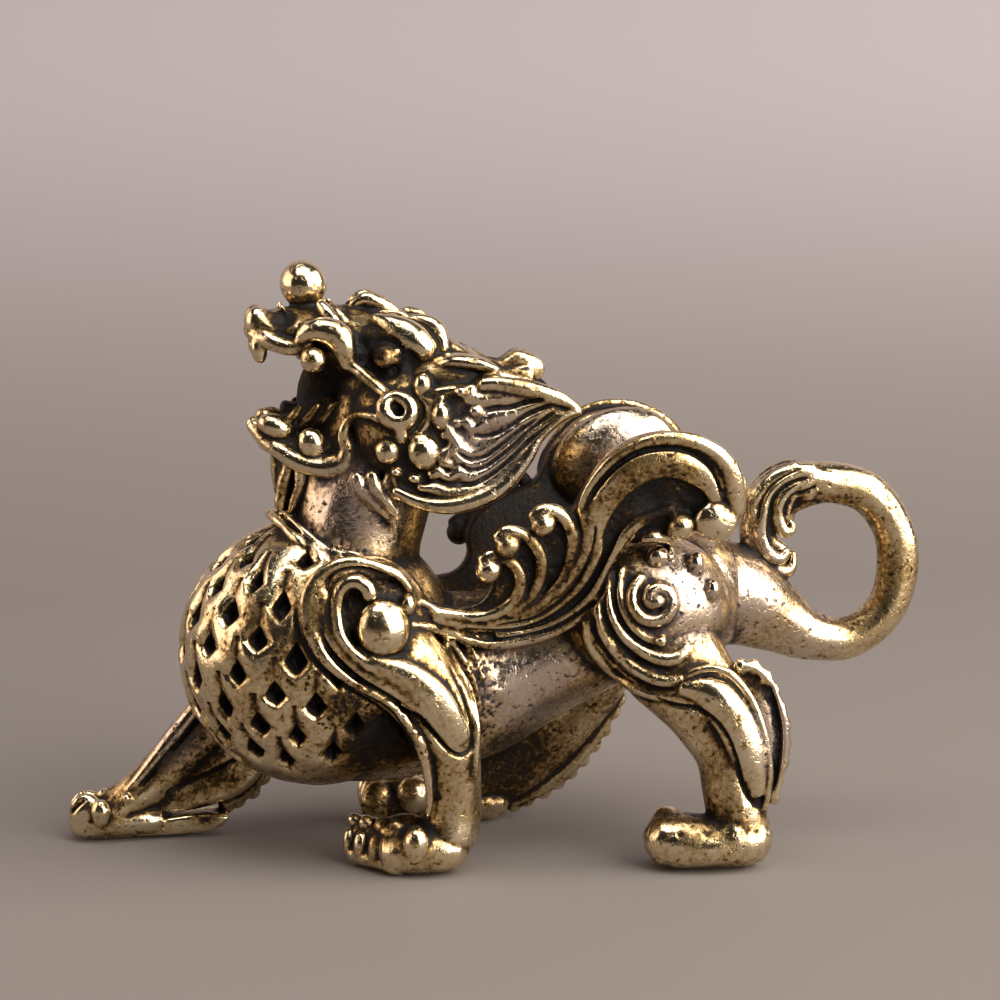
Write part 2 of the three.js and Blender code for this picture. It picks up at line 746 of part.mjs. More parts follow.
function nearHindLeg() {
  return join([
    bar(
      [
        [9.4, -4.6, 17.0, 4.2, 3.4],
        [11.0, -5.9, 14.3, 3.7, 2.9],
        [13.3, -6.9, 11.1, 3.0, 2.5],
        [14.8, -7.5, 8.0, 2.4, 2.2],
        [15.1, -7.8, 4.8, 2.1, 2.0],
        [15.6, -7.8, 2.0, 2.1, 2.1],
      ],
      { sides: 10 },
    ),
    ...paw({
      heel: [
        [16.0, -7.8, 2.1, 2.1, 2.4],
        [13.4, -7.8, 1.9, 1.8, 2.4],
        [11.2, -7.7, 1.9, 1.7, 2.3],
      ],
      toes: [
        [[10.9, -6.2, 3.5], [9.9, -6.2, 2.2]],
        [[10.8, -7.5, 3.5], [9.7, -7.6, 2.2]],
      ],
      thick: 0.75,
    }),
    bar([[10.6, -8.7, 1.7, 1.2, 0.9], [12.6, -9.1, 1.8, 1.3, 0.9], [15.2, -9.3, 2.1, 1.6, 0.9]]),
    bar([
      [10.6, -8.5, 13.0, 0.3],
      [12.4, -9.1, 14.1, 0.36],
      [14.1, -9.3, 13.9, 0.36],
      [15.5, -9.4, 12.3, 0.36],
      [16.5, -9.5, 10.0, 0.36],
      [17.1, -9.5, 7.0, 0.36],
      [16.8, -9.3, 4.4, 0.3],
    ]),
    bar([
      [9.8, -8.3, 12.3, 0.3],
      [11.4, -9.0, 12.1, 0.36],
      [13.1, -9.5, 10.7, 0.36],
      [14.2, -9.7, 8.7, 0.36],
      [15.0, -9.7, 6.3, 0.36],
      [16.5, -9.4, 4.3, 0.3],
    ]),
    bar([
      [11.6, -8.9, 13.1, 0.6, 0.5],
      [13.4, -9.2, 12.4, 1.0, 0.65],
      [14.9, -9.5, 10.2, 1.1, 0.65],
      [15.8, -9.6, 7.6, 0.9, 0.6],
      [16.4, -9.4, 5.4, 0.5, 0.5],
    ]),
    fin([[15.0, 13.6], [16.2, 12.9], [17.3, 11.0], [17.7, 8.6], [17.3, 5.8]], -7.8, 1.0),
  ]);
}

function farHindLeg() {
  return join([
    bar(
      [
        [8.8, 4.8, 16.6, 4.4, 3.6],
        [6.8, 6.4, 11.6, 4.0, 2.7],
        [3.9, 7.0, 7.2, 3.7, 2.4],
        [0.9, 7.0, 4.2, 3.1, 2.2],
        [-2.4, 7.0, 2.2, 2.0, 2.1],
      ],
      { sides: 8 },
    ),
    ...paw({
      heel: [
        [0.2, 7.0, 1.6, 1.6, 2.1],
        [-3.4, 7.0, 1.7, 1.7, 2.3],
        [-6.8, 7.0, 1.6, 1.6, 2.3],
      ],
      toes: [
        [[-7.4, 5.3, 3.3], [-8.5, 5.2, 1.8]],
        [[-7.5, 6.8, 3.4], [-8.7, 6.8, 1.8]],
        [[-7.3, 8.3, 3.2], [-8.3, 8.4, 1.8]],
      ],
      thick: 0.75,
    }),
    fin([[9.2, 8.9], [8.0, 6.4], [6.2, 4.1], [4.2, 2.5], [1.8, 1.3]], 7.0, 1.0),
  ]);
}

// The hip: a low dome under rings of ridge that open towards the thigh, round a coiled boss.
function hipSide() {
  const made = [egg(hip.centre, hip.radii, { around: 14 })];
  const onHip = (x, z, sunk) => {
    const [dx, dz] = [(x - hip.centre[0]) / hip.radii[0], (z - hip.centre[2]) / hip.radii[2]];
    const reach = 1 - dx * dx - dz * dz;
    return hip.centre[1] - hip.radii[1] * Math.sqrt(Math.max(reach, 0.12)) + sunk;
  };
  const laid = (points, radius) => points.map(([x, , z]) => [x, onHip(x, z, 0.05), z, radius]);
  spiral.rings.forEach((radius, i) => {
    made.push(bar(laid(arc(spiral.centre, radius, 125 - 6 * i, 300 + 8 * i, 7), spiral.ridge)));
  });
  const coil = [];
  for (let i = 0; i <= 9; i++) {
    const angle = (200 + 58 * i) * degrees;
    const radius = spiral.boss * (0.2 + 0.09 * i);
    coil.push([spiral.centre[0] + Math.cos(angle) * radius, 0, spiral.centre[2] + Math.sin(angle) * radius]);
  }
  made.push(bar(laid(coil, 0.33)));
  const beads = [
    [9.7, 21.8, [0.7, 0.65, 0.7]],
    [12.6, 21.1, [0.45, 0.45, 0.8]],
    [13.6, 19.3, [0.42, 0.42, 0.65]],
  ];
  for (const [x, z, radii] of beads) made.push(egg([x, onHip(x, z, 0.05), z], radii));
  return made;
}

// The wing: a leaning plate, a rolled rim and a broad band that arch over and curl in, and three curls in
// front whose stems run down into the ridges at the root.
function wingSide() {
  const face = (z) => wing.rootY - wing.lean * (z - wing.rootZ);
  const onWing = (points, radius, deep = radius) =>
    points.map(([x, z, own]) => [x, face(z) + 0.1, z, own ?? radius, own ? own * 0.9 : deep]);
  const curls = [
    {
      ball: [1.6, 24.3],
      stem: [[1.7, 25.1], [2.8, 25.0], [3.7, 24.0], [4.0, 22.4], [3.6, 20.6], [2.6, 18.9], [0.8, 17.7]],
    },
    {
      ball: [-0.7, 22.9],
      stem: [[-0.5, 23.7], [0.5, 23.9], [1.4, 23.2], [1.9, 22.0], [1.8, 20.3], [1.1, 18.7], [-0.4, 17.8]],
    },
    {
      ball: [-2.0, 21.3],
      stem: [[-1.8, 22.0], [-0.9, 22.1], [0.0, 21.6], [0.4, 20.5], [0.1, 19.0], [-1.0, 18.0], [-2.8, 17.9]],
    },
  ];
  const ridges = [
    [
      [5.4, 24.1],
      [5.4, 22.1],
      [4.7, 20.0],
      [3.4, 18.3],
      [1.8, 17.2],
      [-0.5, 16.7],
      [-3.5, 17.0],
      [-6.3, 18.1],
    ],
    [[6.8, 22.4], [6.0, 20.3], [4.7, 18.7], [3.0, 17.4], [0.9, 16.5]],
    [[9.6, 24.6], [8.2, 23.4], [7.4, 21.2], [6.3, 19.3], [4.9, 17.8], [3.0, 16.6], [0.9, 16.0], [-1.8, 15.9],
      [-4.3, 16.5], [-6.6, 17.5]],
  ];
  const outline = [
    [-6.4, 18.9],
    [-6.6, 17.2],
    [-2.6, 15.8],
    [0.9, 15.8],
    [4.4, 17.1],
    [7.2, 19.7],
    [9.0, 22.8],
    [12.0, 23.4],
    [14.2, 25.0],
    [14.0, 27.6],
    [11.6, 29.6],
    [7.8, 29.4],
    [4.8, 26.6],
    [2.4, 24.2],
    [-0.2, 22.9],
    [-2.4, 20.9],
  ];
  const rim = [
    [3.9, 23.4],
    [4.2, 25.3],
    [4.9, 27.1],
    [6.0, 28.5],
    [7.5, 29.5],
    [9.8, 30.0],
    [12.2, 29.5, 0.65],
    [14.0, 28.1, 0.85],
    [14.6, 26.2, 0.95],
    [14.3, 24.5, 0.9],
    [13.1, 23.6, 0.75],
    [12.0, 23.8, 0.55],
  ];
  const band = [[3.4, 19.4], [4.2, 22.2], [5.3, 24.7], [6.8, 27.0], [9.4, 28.2], [11.6, 27.7], [12.6, 26.4]];
  const made = [
    plate(outline, wing.rootY, wing.thickness, { lean: wing.lean, edge: 0.3, steps: 2 }),
    bar(onWing(rim, 0.45)),
    bar(onWing(band, 0.9, 0.7)),
    ...ridges.map((ridge) => bar(onWing(ridge, 0.42))),
    egg([13.0, face(24.3) - 0.4, 24.4], [0.95, 0.8, 0.95]),
    egg([11.0, face(24.0) - 0.1, 24.1], 0.75),
  ];
  for (const { ball, stem } of curls) {
    made.push(bar(onWing(stem, 0.48)));
    made.push(egg([ball[0], face(ball[1]) - 0.1, ball[1]], [0.84, 0.9, 0.84]));
  }
  return made;
}

// The tail leaves the rump thick, rings round and ends in a tuft: three hooked strands carry it, and
// narrower ones lie on both of its sides.
function tail() {
  const core = [
    [
      [23.2, 25.7, 1.1],
      [20.6, 25.8, 1.1],
      [18.5, 24.5, 1.0],
      [17.8, 22.4, 0.85],
      [18.2, 20.4, 0.75],
      [19.4, 19.3, 0.65],
      [20.6, 19.2, 0.5],
      [20.9, 20.4, 0.3],
    ],
    [[23.0, 25.2, 1.0], [20.8, 24.9, 1.0], [19.2, 23.4, 0.9], [18.9, 21.6, 0.8], [20.2, 20.7, 0.4]],
    [[23.6, 24.9, 0.9], [21.8, 24.5, 0.9], [20.6, 23.7, 0.7], [20.6, 22.7, 0.4]],
  ];
  const laidOn = [
    [[21.9, 26.2, 0.6], [20.4, 25.9, 0.7], [19.3, 25.0, 0.7], [18.6, 23.7, 0.65], [18.4, 22.2, 0.6],
      [18.7, 20.9, 0.5], [19.4, 20.2, 0.45], [20.2, 20.5, 0.3]],
    [[22.2, 25.8, 0.6], [21.0, 25.3, 0.65], [20.0, 24.3, 0.6], [19.6, 23.2, 0.55], [20.0, 22.2, 0.45],
      [20.6, 22.5, 0.25]],
    [[22.3, 25.8, 0.5], [21.8, 25.3, 0.6], [21.8, 24.6, 0.5]],
  ];
  return join([
    bar(
      [
        [12.0, 0, 18.6, 4.4, 4.4],
        [16.0, 0, 17.6, 3.9, 3.6],
        [19.0, 0, 16.1, 2.8, 2.6],
        [22.0, 0, 14.5, 1.85, 1.9],
        [25.0, 0, 14.2, tailTube, tailTube],
        [27.7, 0, 16.0, tailTube, tailTube],
        [28.7, 0, 19.0, tailTube, tailTube],
        [28.2, 0, 22.2, tailTube, tailTube],
        [26.2, 0, 24.6, tailTube, tailTube],
        [23.4, 0, 25.4, tailTube, tailTube],
        [21.2, 0, 25.2, 1.4, 1.5],
      ],
      { sides: 10 },
    ),
    ...core.map((strand, i) => {
      const across = 1.4 - 0.15 * i;
      return bar(strand.map(([x, z, radius]) => [x, 0, z, radius, across * radius]));
    }),
    bothSides(laidOn.map((strand) => bar(strand.map(([x, z, radius]) => [x, -0.95, z, radius])))),
  ]);
}

// A block under the ground plane takes the soles off flat.
function underGround() {
  const block = new THREE.BoxGeometry(120, 120, 20);
  block.translate(0, 0, -10);
  return solidFrom(block);
}

function pixiu() {
  const figure = join([
    scaledChest(),
    neck(),
    skull(),
    bothSides(faceSide()),
    bothSides(maneSide()),
    farLobe(),
    nape(),
    beard(),
    bothSides(shoulderSide()),
    nearFrontLeg(),
    farFrontLeg(),
    nearHindLeg(),
    farHindLeg(),
    bothSides(hipSide()),
    bothSides(wingSide()),
    tail(),
  ]);
  return thinned(figure, triangles).subtract(underGround());
}

function meshOf(solid, name, look) {
  const made = solid.getMesh();
  const geometry = new THREE.BufferGeometry();
  const points = new Float32Array(made.numVert * 3);
  for (let i = 0; i < made.numVert; i++) {
    points.set(made.vertProperties.subarray(i * made.numProp, i * made.numProp + 3), i * 3);
  }
  geometry.setAttribute("position", new THREE.BufferAttribute(points, 3));
  geometry.setIndex(new THREE.BufferAttribute(new Uint32Array(made.triVerts), 1));
  geometry.computeVertexNormals();
  const mesh = new THREE.Mesh(geometry, new THREE.MeshStandardMaterial(look));
  mesh.name = name;
  return mesh;
}

const group = new THREE.Group();
group.name = "pixiu";
group.add(meshOf(pixiu(), "pixiu_figurine", brassLook));

export default group;
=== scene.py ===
import bpy
import bmesh
import numpy as np
from math import sin, cos, pi, radians, hypot
from bmesh.types import BMEdge, BMVert
from mathutils import Matrix, Vector
from mathutils.bvhtree import BVHTree


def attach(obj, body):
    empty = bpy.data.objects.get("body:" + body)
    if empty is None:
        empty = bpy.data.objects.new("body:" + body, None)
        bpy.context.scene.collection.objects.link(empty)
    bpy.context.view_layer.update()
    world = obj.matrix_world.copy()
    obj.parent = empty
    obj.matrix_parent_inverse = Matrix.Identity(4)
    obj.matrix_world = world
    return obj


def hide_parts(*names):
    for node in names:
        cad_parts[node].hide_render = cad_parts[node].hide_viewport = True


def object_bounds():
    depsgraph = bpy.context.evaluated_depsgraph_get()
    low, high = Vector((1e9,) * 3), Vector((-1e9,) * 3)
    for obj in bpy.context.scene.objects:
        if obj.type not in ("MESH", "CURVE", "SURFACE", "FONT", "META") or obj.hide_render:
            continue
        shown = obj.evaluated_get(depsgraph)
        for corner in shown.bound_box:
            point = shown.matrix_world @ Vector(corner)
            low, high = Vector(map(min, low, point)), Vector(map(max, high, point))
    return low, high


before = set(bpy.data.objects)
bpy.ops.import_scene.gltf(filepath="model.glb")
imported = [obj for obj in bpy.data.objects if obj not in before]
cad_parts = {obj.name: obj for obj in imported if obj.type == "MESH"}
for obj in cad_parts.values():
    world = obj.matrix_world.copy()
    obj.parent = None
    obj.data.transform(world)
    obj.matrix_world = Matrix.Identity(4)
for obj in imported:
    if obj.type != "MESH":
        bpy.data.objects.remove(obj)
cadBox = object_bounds()
mm = 0.001  # everything is drawn in millimetres and scaled once, at the end


# Drawing tools

def spline(rows, t):
    # a smooth run through rows of numbers, t from 0 to 1
    span = min(int(t * (len(rows) - 1)), len(rows) - 2)
    u = t * (len(rows) - 1) - span
    before, here, there, after = (rows[min(max(span + k, 0), len(rows) - 1)] for k in (-1, 0, 1, 2))
    return [
        0.5 * (2 * b + (c - a) * u + (2 * a - 5 * b + 4 * c - d) * u * u + (3 * b - a - 3 * c + d) * u ** 3)
        for a, b, c, d in zip(before, here, there, after)
    ]


def ringPlace(rows, t, across, shrink=1.0, push=0.0):
    # where a unit circle goes at t: the bar's own plane first, then across it, then along
    x, y, z, high, wide = spline(rows, t)
    step = 0.004
    a = Vector(spline(rows, max(t - step, 0))[:3])
    b = Vector(spline(rows, min(t + step, 1))[:3])
    along = (b - a).normalized()
    side = Vector(across)
    side = (side - along * side.dot(along)).normalized()
    up = side.cross(along)
    centre = Vector((x, y, z)) + along * push * min(high, wide)
    turn = Matrix((up * high * shrink, side * wide * shrink, along)).transposed().to_4x4()
    return Matrix.Translation(centre) @ turn


def only(geometry, kind):
    return [g for g in geometry if isinstance(g, kind)]


def drawOut(one, places, sides):
    # a circle drawn out from place to place and closed at both ends
    made = bmesh.ops.create_circle(one, cap_ends=False, radius=1, segments=sides)
    first = edges = one.edges[:]
    bmesh.ops.transform(one, matrix=places[0], verts=made["verts"])
    for old, new in zip(places, places[1:]):
        drawn = bmesh.ops.extrude_edge_only(one, edges=edges)["geom"]
        edges = only(drawn, BMEdge)
        bmesh.ops.transform(one, matrix=new @ old.inverted(), verts=only(drawn, BMVert))
    bmesh.ops.edgeloop_fill(one, edges=first)
    bmesh.ops.edgeloop_fill(one, edges=edges)


def bar(bm, stations, sides=12, perSpan=4, across=(0, 1, 0), blunt=0.7):
    # a round bar with rounded ends; a station is x, y, z, radius in its plane and, if it differs, across it
    rows = [list(s) if len(s) == 5 else [*s, s[3]] for s in stations]
    caps = [(0.15, 1.0), (0.6, 0.8), (0.87, 0.5)]
    places = [ringPlace(rows, 0, across, s, -p * blunt) for s, p in caps]
    count = perSpan * (len(rows) - 1)
    places += [ringPlace(rows, i / count, across) for i in range(count + 1)]
    places += [ringPlace(rows, 1, across, s, p * blunt) for s, p in reversed(caps)]
    one = bmesh.new()
    drawOut(one, places, sides)
    settle(one, bm)


def egg(bm, centre, radii, tilt=0, detail=3):
    # an egg or a ball; tilt turns it in the side view, in degrees
    if not isinstance(radii, (tuple, list)):
        radii = (radii, radii, radii)
    turn = Matrix.Rotation(radians(tilt), 4, "Y")
    place = Matrix.Translation(centre) @ turn @ Matrix.Diagonal((*radii, 1))
    one = bmesh.new()
    bmesh.ops.create_icosphere(one, subdivisions=detail, radius=1, matrix=place)
    settle(one, bm)


def leaf(bm, outline, y, thickness, bend=None, edge=0.3, steps=5):
    # a plate cut to a smooth outline in the side view, its outer face at y, bent by bend(x, z)
    one = bmesh.new()
    loop = [outline[-1], *outline, outline[0], outline[1]]
    corners = []
    for i in range(len(outline) * steps):
        x, z = spline(loop, (1 + i / steps) / (len(loop) - 1))
        corners.append(one.verts.new((x, y, z)))
    for a, b in zip(corners, corners[1:] + corners[:1]):
        one.edges.new((a, b))
    face = bmesh.ops.contextual_create(one, geom=one.edges[:])["faces"]
    drawn = bmesh.ops.extrude_face_region(one, geom=face)["geom"]
    bmesh.ops.translate(one, vec=(0, thickness, 0), verts=only(drawn, BMVert))
    rims = [e for e in one.edges if abs(e.verts[0].co.y - e.verts[1].co.y) < 1e-6]
    bmesh.ops.bevel(one, geom=rims, offset=edge, segments=3, profile=0.5, affect="EDGES", material=-1)
    if bend:
        for v in one.verts:
            v.co.y += bend(v.co.x, v.co.z)
    settle(one, bm)


def settle(one, bm):
    # faces outwards, then in among the other forms
    bmesh.ops.recalc_face_normals(one, faces=one.faces[:])
    mesh = bpy.data.meshes.new("form")
    one.to_mesh(mesh)
    one.free()
    bm.from_mesh(mesh)
    bpy.data.meshes.remove(mesh)


def bothSides(bm, build, *given):
    # the near flank is drawn and mirrored to the far one
    near = bmesh.new()
    build(near, *given)
    settle(near.copy(), bm)
    bmesh.ops.scale(near, vec=(1, -1, 1), verts=near.verts[:])
    settle(near, bm)


def atY(points, y, radius, deep=None):
    # stations for a line drawn in the side view as x, z and, where it differs, its own radius
    rows = []
    for x, z, *own in points:
        r = own[0] if own else radius
        rows.append((x, y(x, z) if callable(y) else y, z, r, deep or r))
    return rows


def skinFinder(bm):
    # the y of the outermost near skin at x, z, kept between two limits
    tree = BVHTree.FromBMesh(bm)

    def skin(lift, outer, inner):
        def find(x, z):
            hit = tree.ray_cast(Vector((x, -40, z)), Vector((0, 1, 0)))[0]
            y = inner if hit is None else min(max(hit.y, outer), inner)
            return y - lift
        return find

    return skin


# Body, chest and neck

trunk = {
    # stations along it: x, height of the belly and of the back, half its width
    "slices": [
        (-19.5, 9.5, 20, 5), (-15, 6.2, 22.8, 8), (-10, 5.1, 22.6, 8), (-5, 5.5, 18.6, 6.6),
        (0, 7.0, 18.4, 5.6), (5, 9.9, 20.6, 5.7), (10, 12.2, 22.4, 6.4), (14, 13.2, 22.6, 5.8),
        (16, 14.0, 21.8, 4.2),
    ],
    "sides": 40,
    "perSpan": 6,
    "neck": [(-10.5, 0, 18, 5.2, 6.0), (-10.2, 0, 21.5, 4.6, 5.2), (-9.6, 0, 24.5, 4.6, 5.0),
             (-8.6, 0, 28, 4.6, 5.2), (-7.6, 0, 31, 4.2, 5.2)],
}
chest = {"centre": (-12.7, 0, 14.4), "radii": (9.7, 9.0, 9.4)}


def body(bm):
    places = []
    count = trunk["perSpan"] * (len(trunk["slices"]) - 1)
    for i in range(count + 1):
        x, low, high, half = spline(trunk["slices"], i / count)
        rows = ((0, 0, 1, x), (half, 0, 0, 0), (0, (high - low) / 2, 0, (low + high) / 2), (0, 0, 0, 1))
        places.append(Matrix(rows))
    one = bmesh.new()
    drawOut(one, places, trunk["sides"])
    settle(one, bm)
    egg(bm, chest["centre"], chest["radii"], detail=5)
    bar(bm, trunk["neck"], sides=trunk["sides"], perSpan=trunk["perSpan"])


def collarSide(bm):
    # a raised double rim where the neck leaves the scales
    bar(bm, [(-16.0, -0.2, 24.0, 0.34), (-15.3, -2.2, 23.6, 0.32), (-14.6, -3.6, 23.0, 0.32),
             (-12.3, -5.3, 21.7, 0.34), (-9.5, -6.2, 21.2, 0.36)], across=(0, 0, 1))
    bar(bm, [(-15.1, -1.6, 24.3, 0.18), (-14.2, -3.4, 23.6, 0.2), (-12.6, -4.7, 22.4, 0.2),
             (-10.2, -5.7, 21.9, 0.18)], across=(0, 0, 1))


# Head

pearl = {"centre": (-13.5, 0, 39.72), "radius": 1.63}


def skull(bm):
    egg(bm, (-6.6, 0, 32.6), (4.6, 5.6, 4.6), detail=4)
    egg(bm, (-4.2, 0, 30.2), (4.6, 5.9, 4.9), detail=4)
    bar(bm, [(-7.0, 0, 34.4, 3.4, 4.8), (-10.0, 0, 35.6, 2.7, 4.0), (-13.0, 0, 36.5, 1.9, 3.3),
             (-15.6, 0, 36.9, 1.2, 2.5), (-16.7, 0, 36.8, 0.9, 1.9)], sides=28)
    bar(bm, [(-7.2, 0, 29.6, 3.0, 4.8), (-10.4, 0, 29.0, 1.8, 3.9), (-13.4, 0, 28.7, 1.2, 3.1),
             (-16.0, 0, 29.3, 1.0, 2.2)], sides=28)
    egg(bm, pearl["centre"], pearl["radius"], detail=4)
    egg(bm, (-13.4, 0, 38.0), (1.15, 1.2, 0.9))
    egg(bm, (-8.6, 0, 37.3), (2.3, 2.0, 1.2))
    egg(bm, (-11.2, 0, 32.0), (2.9, 1.5, 3.4))
    bar(bm, [(-11.6, 0, 31.2, 0.8, 1.3), (-13.6, 0, 30.9, 0.7, 1.2), (-14.9, 0, 31.4, 0.5, 0.9)])


def headSwellings(bm):
    egg(bm, (-7.2, -2.9, 35.3), (3.6, 2.4, 2.3))  # under the brow
    egg(bm, (-3.8, -4.6, 33.6), (3.2, 2.2, 1.7))  # root of the ear
    egg(bm, (-7.4, -4.0, 30.6), (3.2, 2.9, 4.0), detail=4)  # cheek


def muzzleSide(bm):
    flat = (0, 0, 1)
    bar(bm, [(-17.1, -0.9, 36.6, 0.58), (-16.2, -2.0, 36.2, 0.6), (-14.8, -2.9, 35.7, 0.58),
             (-13.4, -3.5, 35.7, 0.48)], across=flat)  # upper lip
    egg(bm, (-16.7, -1.0, 37.2), (0.85, 0.9, 1.15))
    egg(bm, (-16.65, -1.75, 35.45), (0.58, 0.54, 1.0), tilt=-8)  # fang
    bar(bm, [(-13.9, -3.3, 36.2, 0.48), (-13.5, -3.55, 36.7, 0.64), (-12.7, -3.8, 36.9, 0.84),
             (-11.7, -4.0, 36.65, 0.98), (-11.1, -4.2, 35.9, 0.92), (-10.95, -4.3, 35.05, 0.68),
             (-10.95, -4.35, 34.5, 0.44)])  # nostril curl
    egg(bm, (-13.15, -4.05, 34.9), 0.92)
    # cup under the pearl, and two wedges that run back from it
    bar(bm, [(-15.1, -1.2, 38.3, 0.18), (-14.6, -1.7, 37.65, 0.22), (-13.8, -2.0, 37.3, 0.26),
             (-13.1, -2.05, 37.5, 0.24), (-12.7, -1.9, 38.0, 0.2)])
    for x, fat in ((-12.5, 0.5), (-11.7, 0.22)):
        bar(bm, [(x, -1.9, 38.5, fat * 0.8), (x + 0.4, -2.4, 38.0, fat), (x + 0.9, -2.9, 37.45, fat * 0.6)])
    # lower lip: it rolls in at the corner of the mouth
    bar(bm, [(-17.0, -0.9, 30.2, 0.54), (-16.2, -1.7, 29.2, 0.62), (-15.4, -2.3, 28.7, 0.62),
             (-14.3, -2.9, 28.0, 0.62), (-13.1, -3.3, 27.6, 0.72), (-12.0, -3.6, 27.6, 0.84),
             (-11.15, -3.9, 28.0, 0.84), (-10.9, -4.1, 28.8, 0.66), (-11.1, -4.2, 29.6, 0.5),
             (-11.2, -4.5, 30.3, 0.36)])
    egg(bm, (-15.55, -1.9, 30.2), (1.35, 0.92, 0.88), tilt=22)
    egg(bm, (-13.2, -3.1, 29.2), (0.95, 0.82, 1.1), tilt=-25)
    # floor of the mouth, with ribs
    bar(bm, [(-15.3, 0, 29.9, 0.7, 1.4), (-13.6, 0, 30.4, 1.2, 2.0), (-11.6, 0, 31.2, 1.6, 2.4)], sides=20)
    for x, z, run in ((-14.9, 30.4, 1.2), (-13.9, 30.2, 1.5), (-12.9, 30.1, 1.7)):
        bar(bm, [(x, -1.6, z, 0.24), (x + 0.4 * run, -2.1, z + 0.45 * run, 0.3),
                 (x + 0.8 * run, -2.2, z + run, 0.22)])


def browSide(bm):
    egg(bm, (-8.5, -4.65, 35.15), (0.92, 0.8, 0.98), tilt=-20)  # eye
    bar(bm, atY([(-10.3, 38.3, 0.3), (-9.4, 38.75, 0.52), (-8.5, 38.45, 0.6), (-7.6, 37.9, 0.5),
                 (-7.0, 37.5, 0.3)],
                -1.0, 0.5))
    bar(bm, [(-8.5, -2.8, 38.0, 0.2), (-7.2, -3.1, 37.85, 0.28), (-6.2, -3.4, 37.2, 0.22)])
    bar(bm, [(-8.95, -3.4, 37.65, 0.34), (-8.2, -3.8, 37.3, 0.68), (-7.3, -4.2, 36.8, 0.96),
             (-6.4, -4.6, 36.2, 1.06), (-5.7, -4.9, 35.6, 0.88)])
    bar(bm, [(-6.2, -3.2, 37.5, 0.4), (-5.2, -3.6, 37.2, 0.56), (-4.65, -4.0, 36.45, 0.56),
             (-4.4, -4.4, 35.6, 0.36)])


def cheekSide(bm, skin):
    bar(bm, [(-10.8, -4.3, 34.7, 0.42), (-10.0, -4.9, 34.1, 0.48), (-9.1, -5.6, 33.3, 0.46),
             (-8.45, -6.2, 32.7, 0.46)])  # whisker
    # drop-shaped ring at its end, with two echoes behind it
    bar(bm, [(-8.0, -6.6, 32.8, 0.36), (-8.7, -6.6, 32.25, 0.54), (-8.6, -6.7, 31.5, 0.56),
             (-8.0, -6.8, 31.05, 0.56), (-7.3, -6.9, 31.1, 0.56), (-6.9, -6.9, 31.7, 0.54),
             (-7.2, -6.8, 32.4, 0.5), (-8.0, -6.6, 32.8, 0.36)])
    bar(bm, [(-7.7, -6.9, 30.7, 0.4), (-7.6, -6.9, 30.2, 0.34), (-7.5, -6.9, 29.8, 0.2)])
    echo = skin(0.02, -7.6, -5.5)
    bar(bm, atY([(-6.6, 32.9), (-5.85, 32.3), (-5.7, 31.4), (-6.2, 30.5), (-6.9, 29.9)], echo, 0.24))
    bar(bm, atY([(-6.2, 32.6), (-5.4, 32.3), (-4.9, 32.6)], echo, 0.2))
    # the lower lip runs on to the cheek
    bar(bm, atY([(-11.2, 30.0, 0.34), (-11.0, 30.7, 0.32), (-10.4, 31.25, 0.3), (-9.6, 31.4, 0.28),
                 (-8.9, 31.1, 0.22)],
                skin(0.1, -6.4, -4.4), 0.3))
    egg(bm, (-6.1, -6.5, 33.4), (0.66, 0.65, 0.85))
    egg(bm, (-4.95, -7.1, 31.4), (0.62, 0.65, 0.95))
    egg(bm, (-8.4, -6.2, 29.0), (0.86, 0.8, 0.9))
    egg(bm, (-6.05, -6.9, 28.95), (1.12, 0.95, 1.22))
    for x, z, r in ((-2.7, 31.7, 0.34), (-3.9, 30.9, 0.3), (-4.6, 30.1, 0.32), (-5.4, 27.5, 0.4),
                    (-6.7, 27.2, 0.36), (-3.6, 33.0, 0.32), (-7.9, 27.6, 0.3)):
        egg(bm, (x, skin(0.1, -7.6, -5.0)(x, z), z), (r * 1.25, r, r))
    # ear: a pointed upper edge that runs back, and a lower edge folded in under it
    bar(bm, [(-4.9, -5.0, 34.6, 0.55, 0.9), (-4.2, -5.5, 34.85, 0.6, 1.0), (-3.3, -5.9, 34.85, 0.6, 1.0),
             (-2.1, -6.5, 34.7, 0.45, 0.7), (-1.1, -6.9, 34.4, 0.2, 0.3)])
    bar(bm, [(-1.4, -6.9, 34.15, 0.26), (-2.2, -6.9, 33.65, 0.36), (-3.0, -6.8, 32.95, 0.4),
             (-3.75, -6.5, 32.4, 0.38), (-4.4, -6.1, 32.7, 0.34), (-4.6, -5.7, 33.8, 0.28)])
    # hair that hangs from the jaw in three strands
    for y, strand in (
        (-5.1, [(-10.4, 27.2, 0.4), (-10.1, 26.3, 0.42), (-9.3, 25.4, 0.42), (-8.5, 24.7, 0.38),
                (-7.9, 23.9, 0.3), (-7.9, 23.2, 0.18)]),
        (-5.4, [(-9.4, 27.3, 0.45), (-9.2, 26.5, 0.48), (-8.6, 25.7, 0.45), (-8.0, 25.0, 0.36),
                (-7.6, 24.3, 0.22)]),
        (-5.6, [(-8.2, 27.2, 0.4), (-8.3, 26.6, 0.42), (-7.8, 26.0, 0.36), (-7.3, 25.6, 0.22)]),
    ):
        bar(bm, atY(strand, y, 0.4))


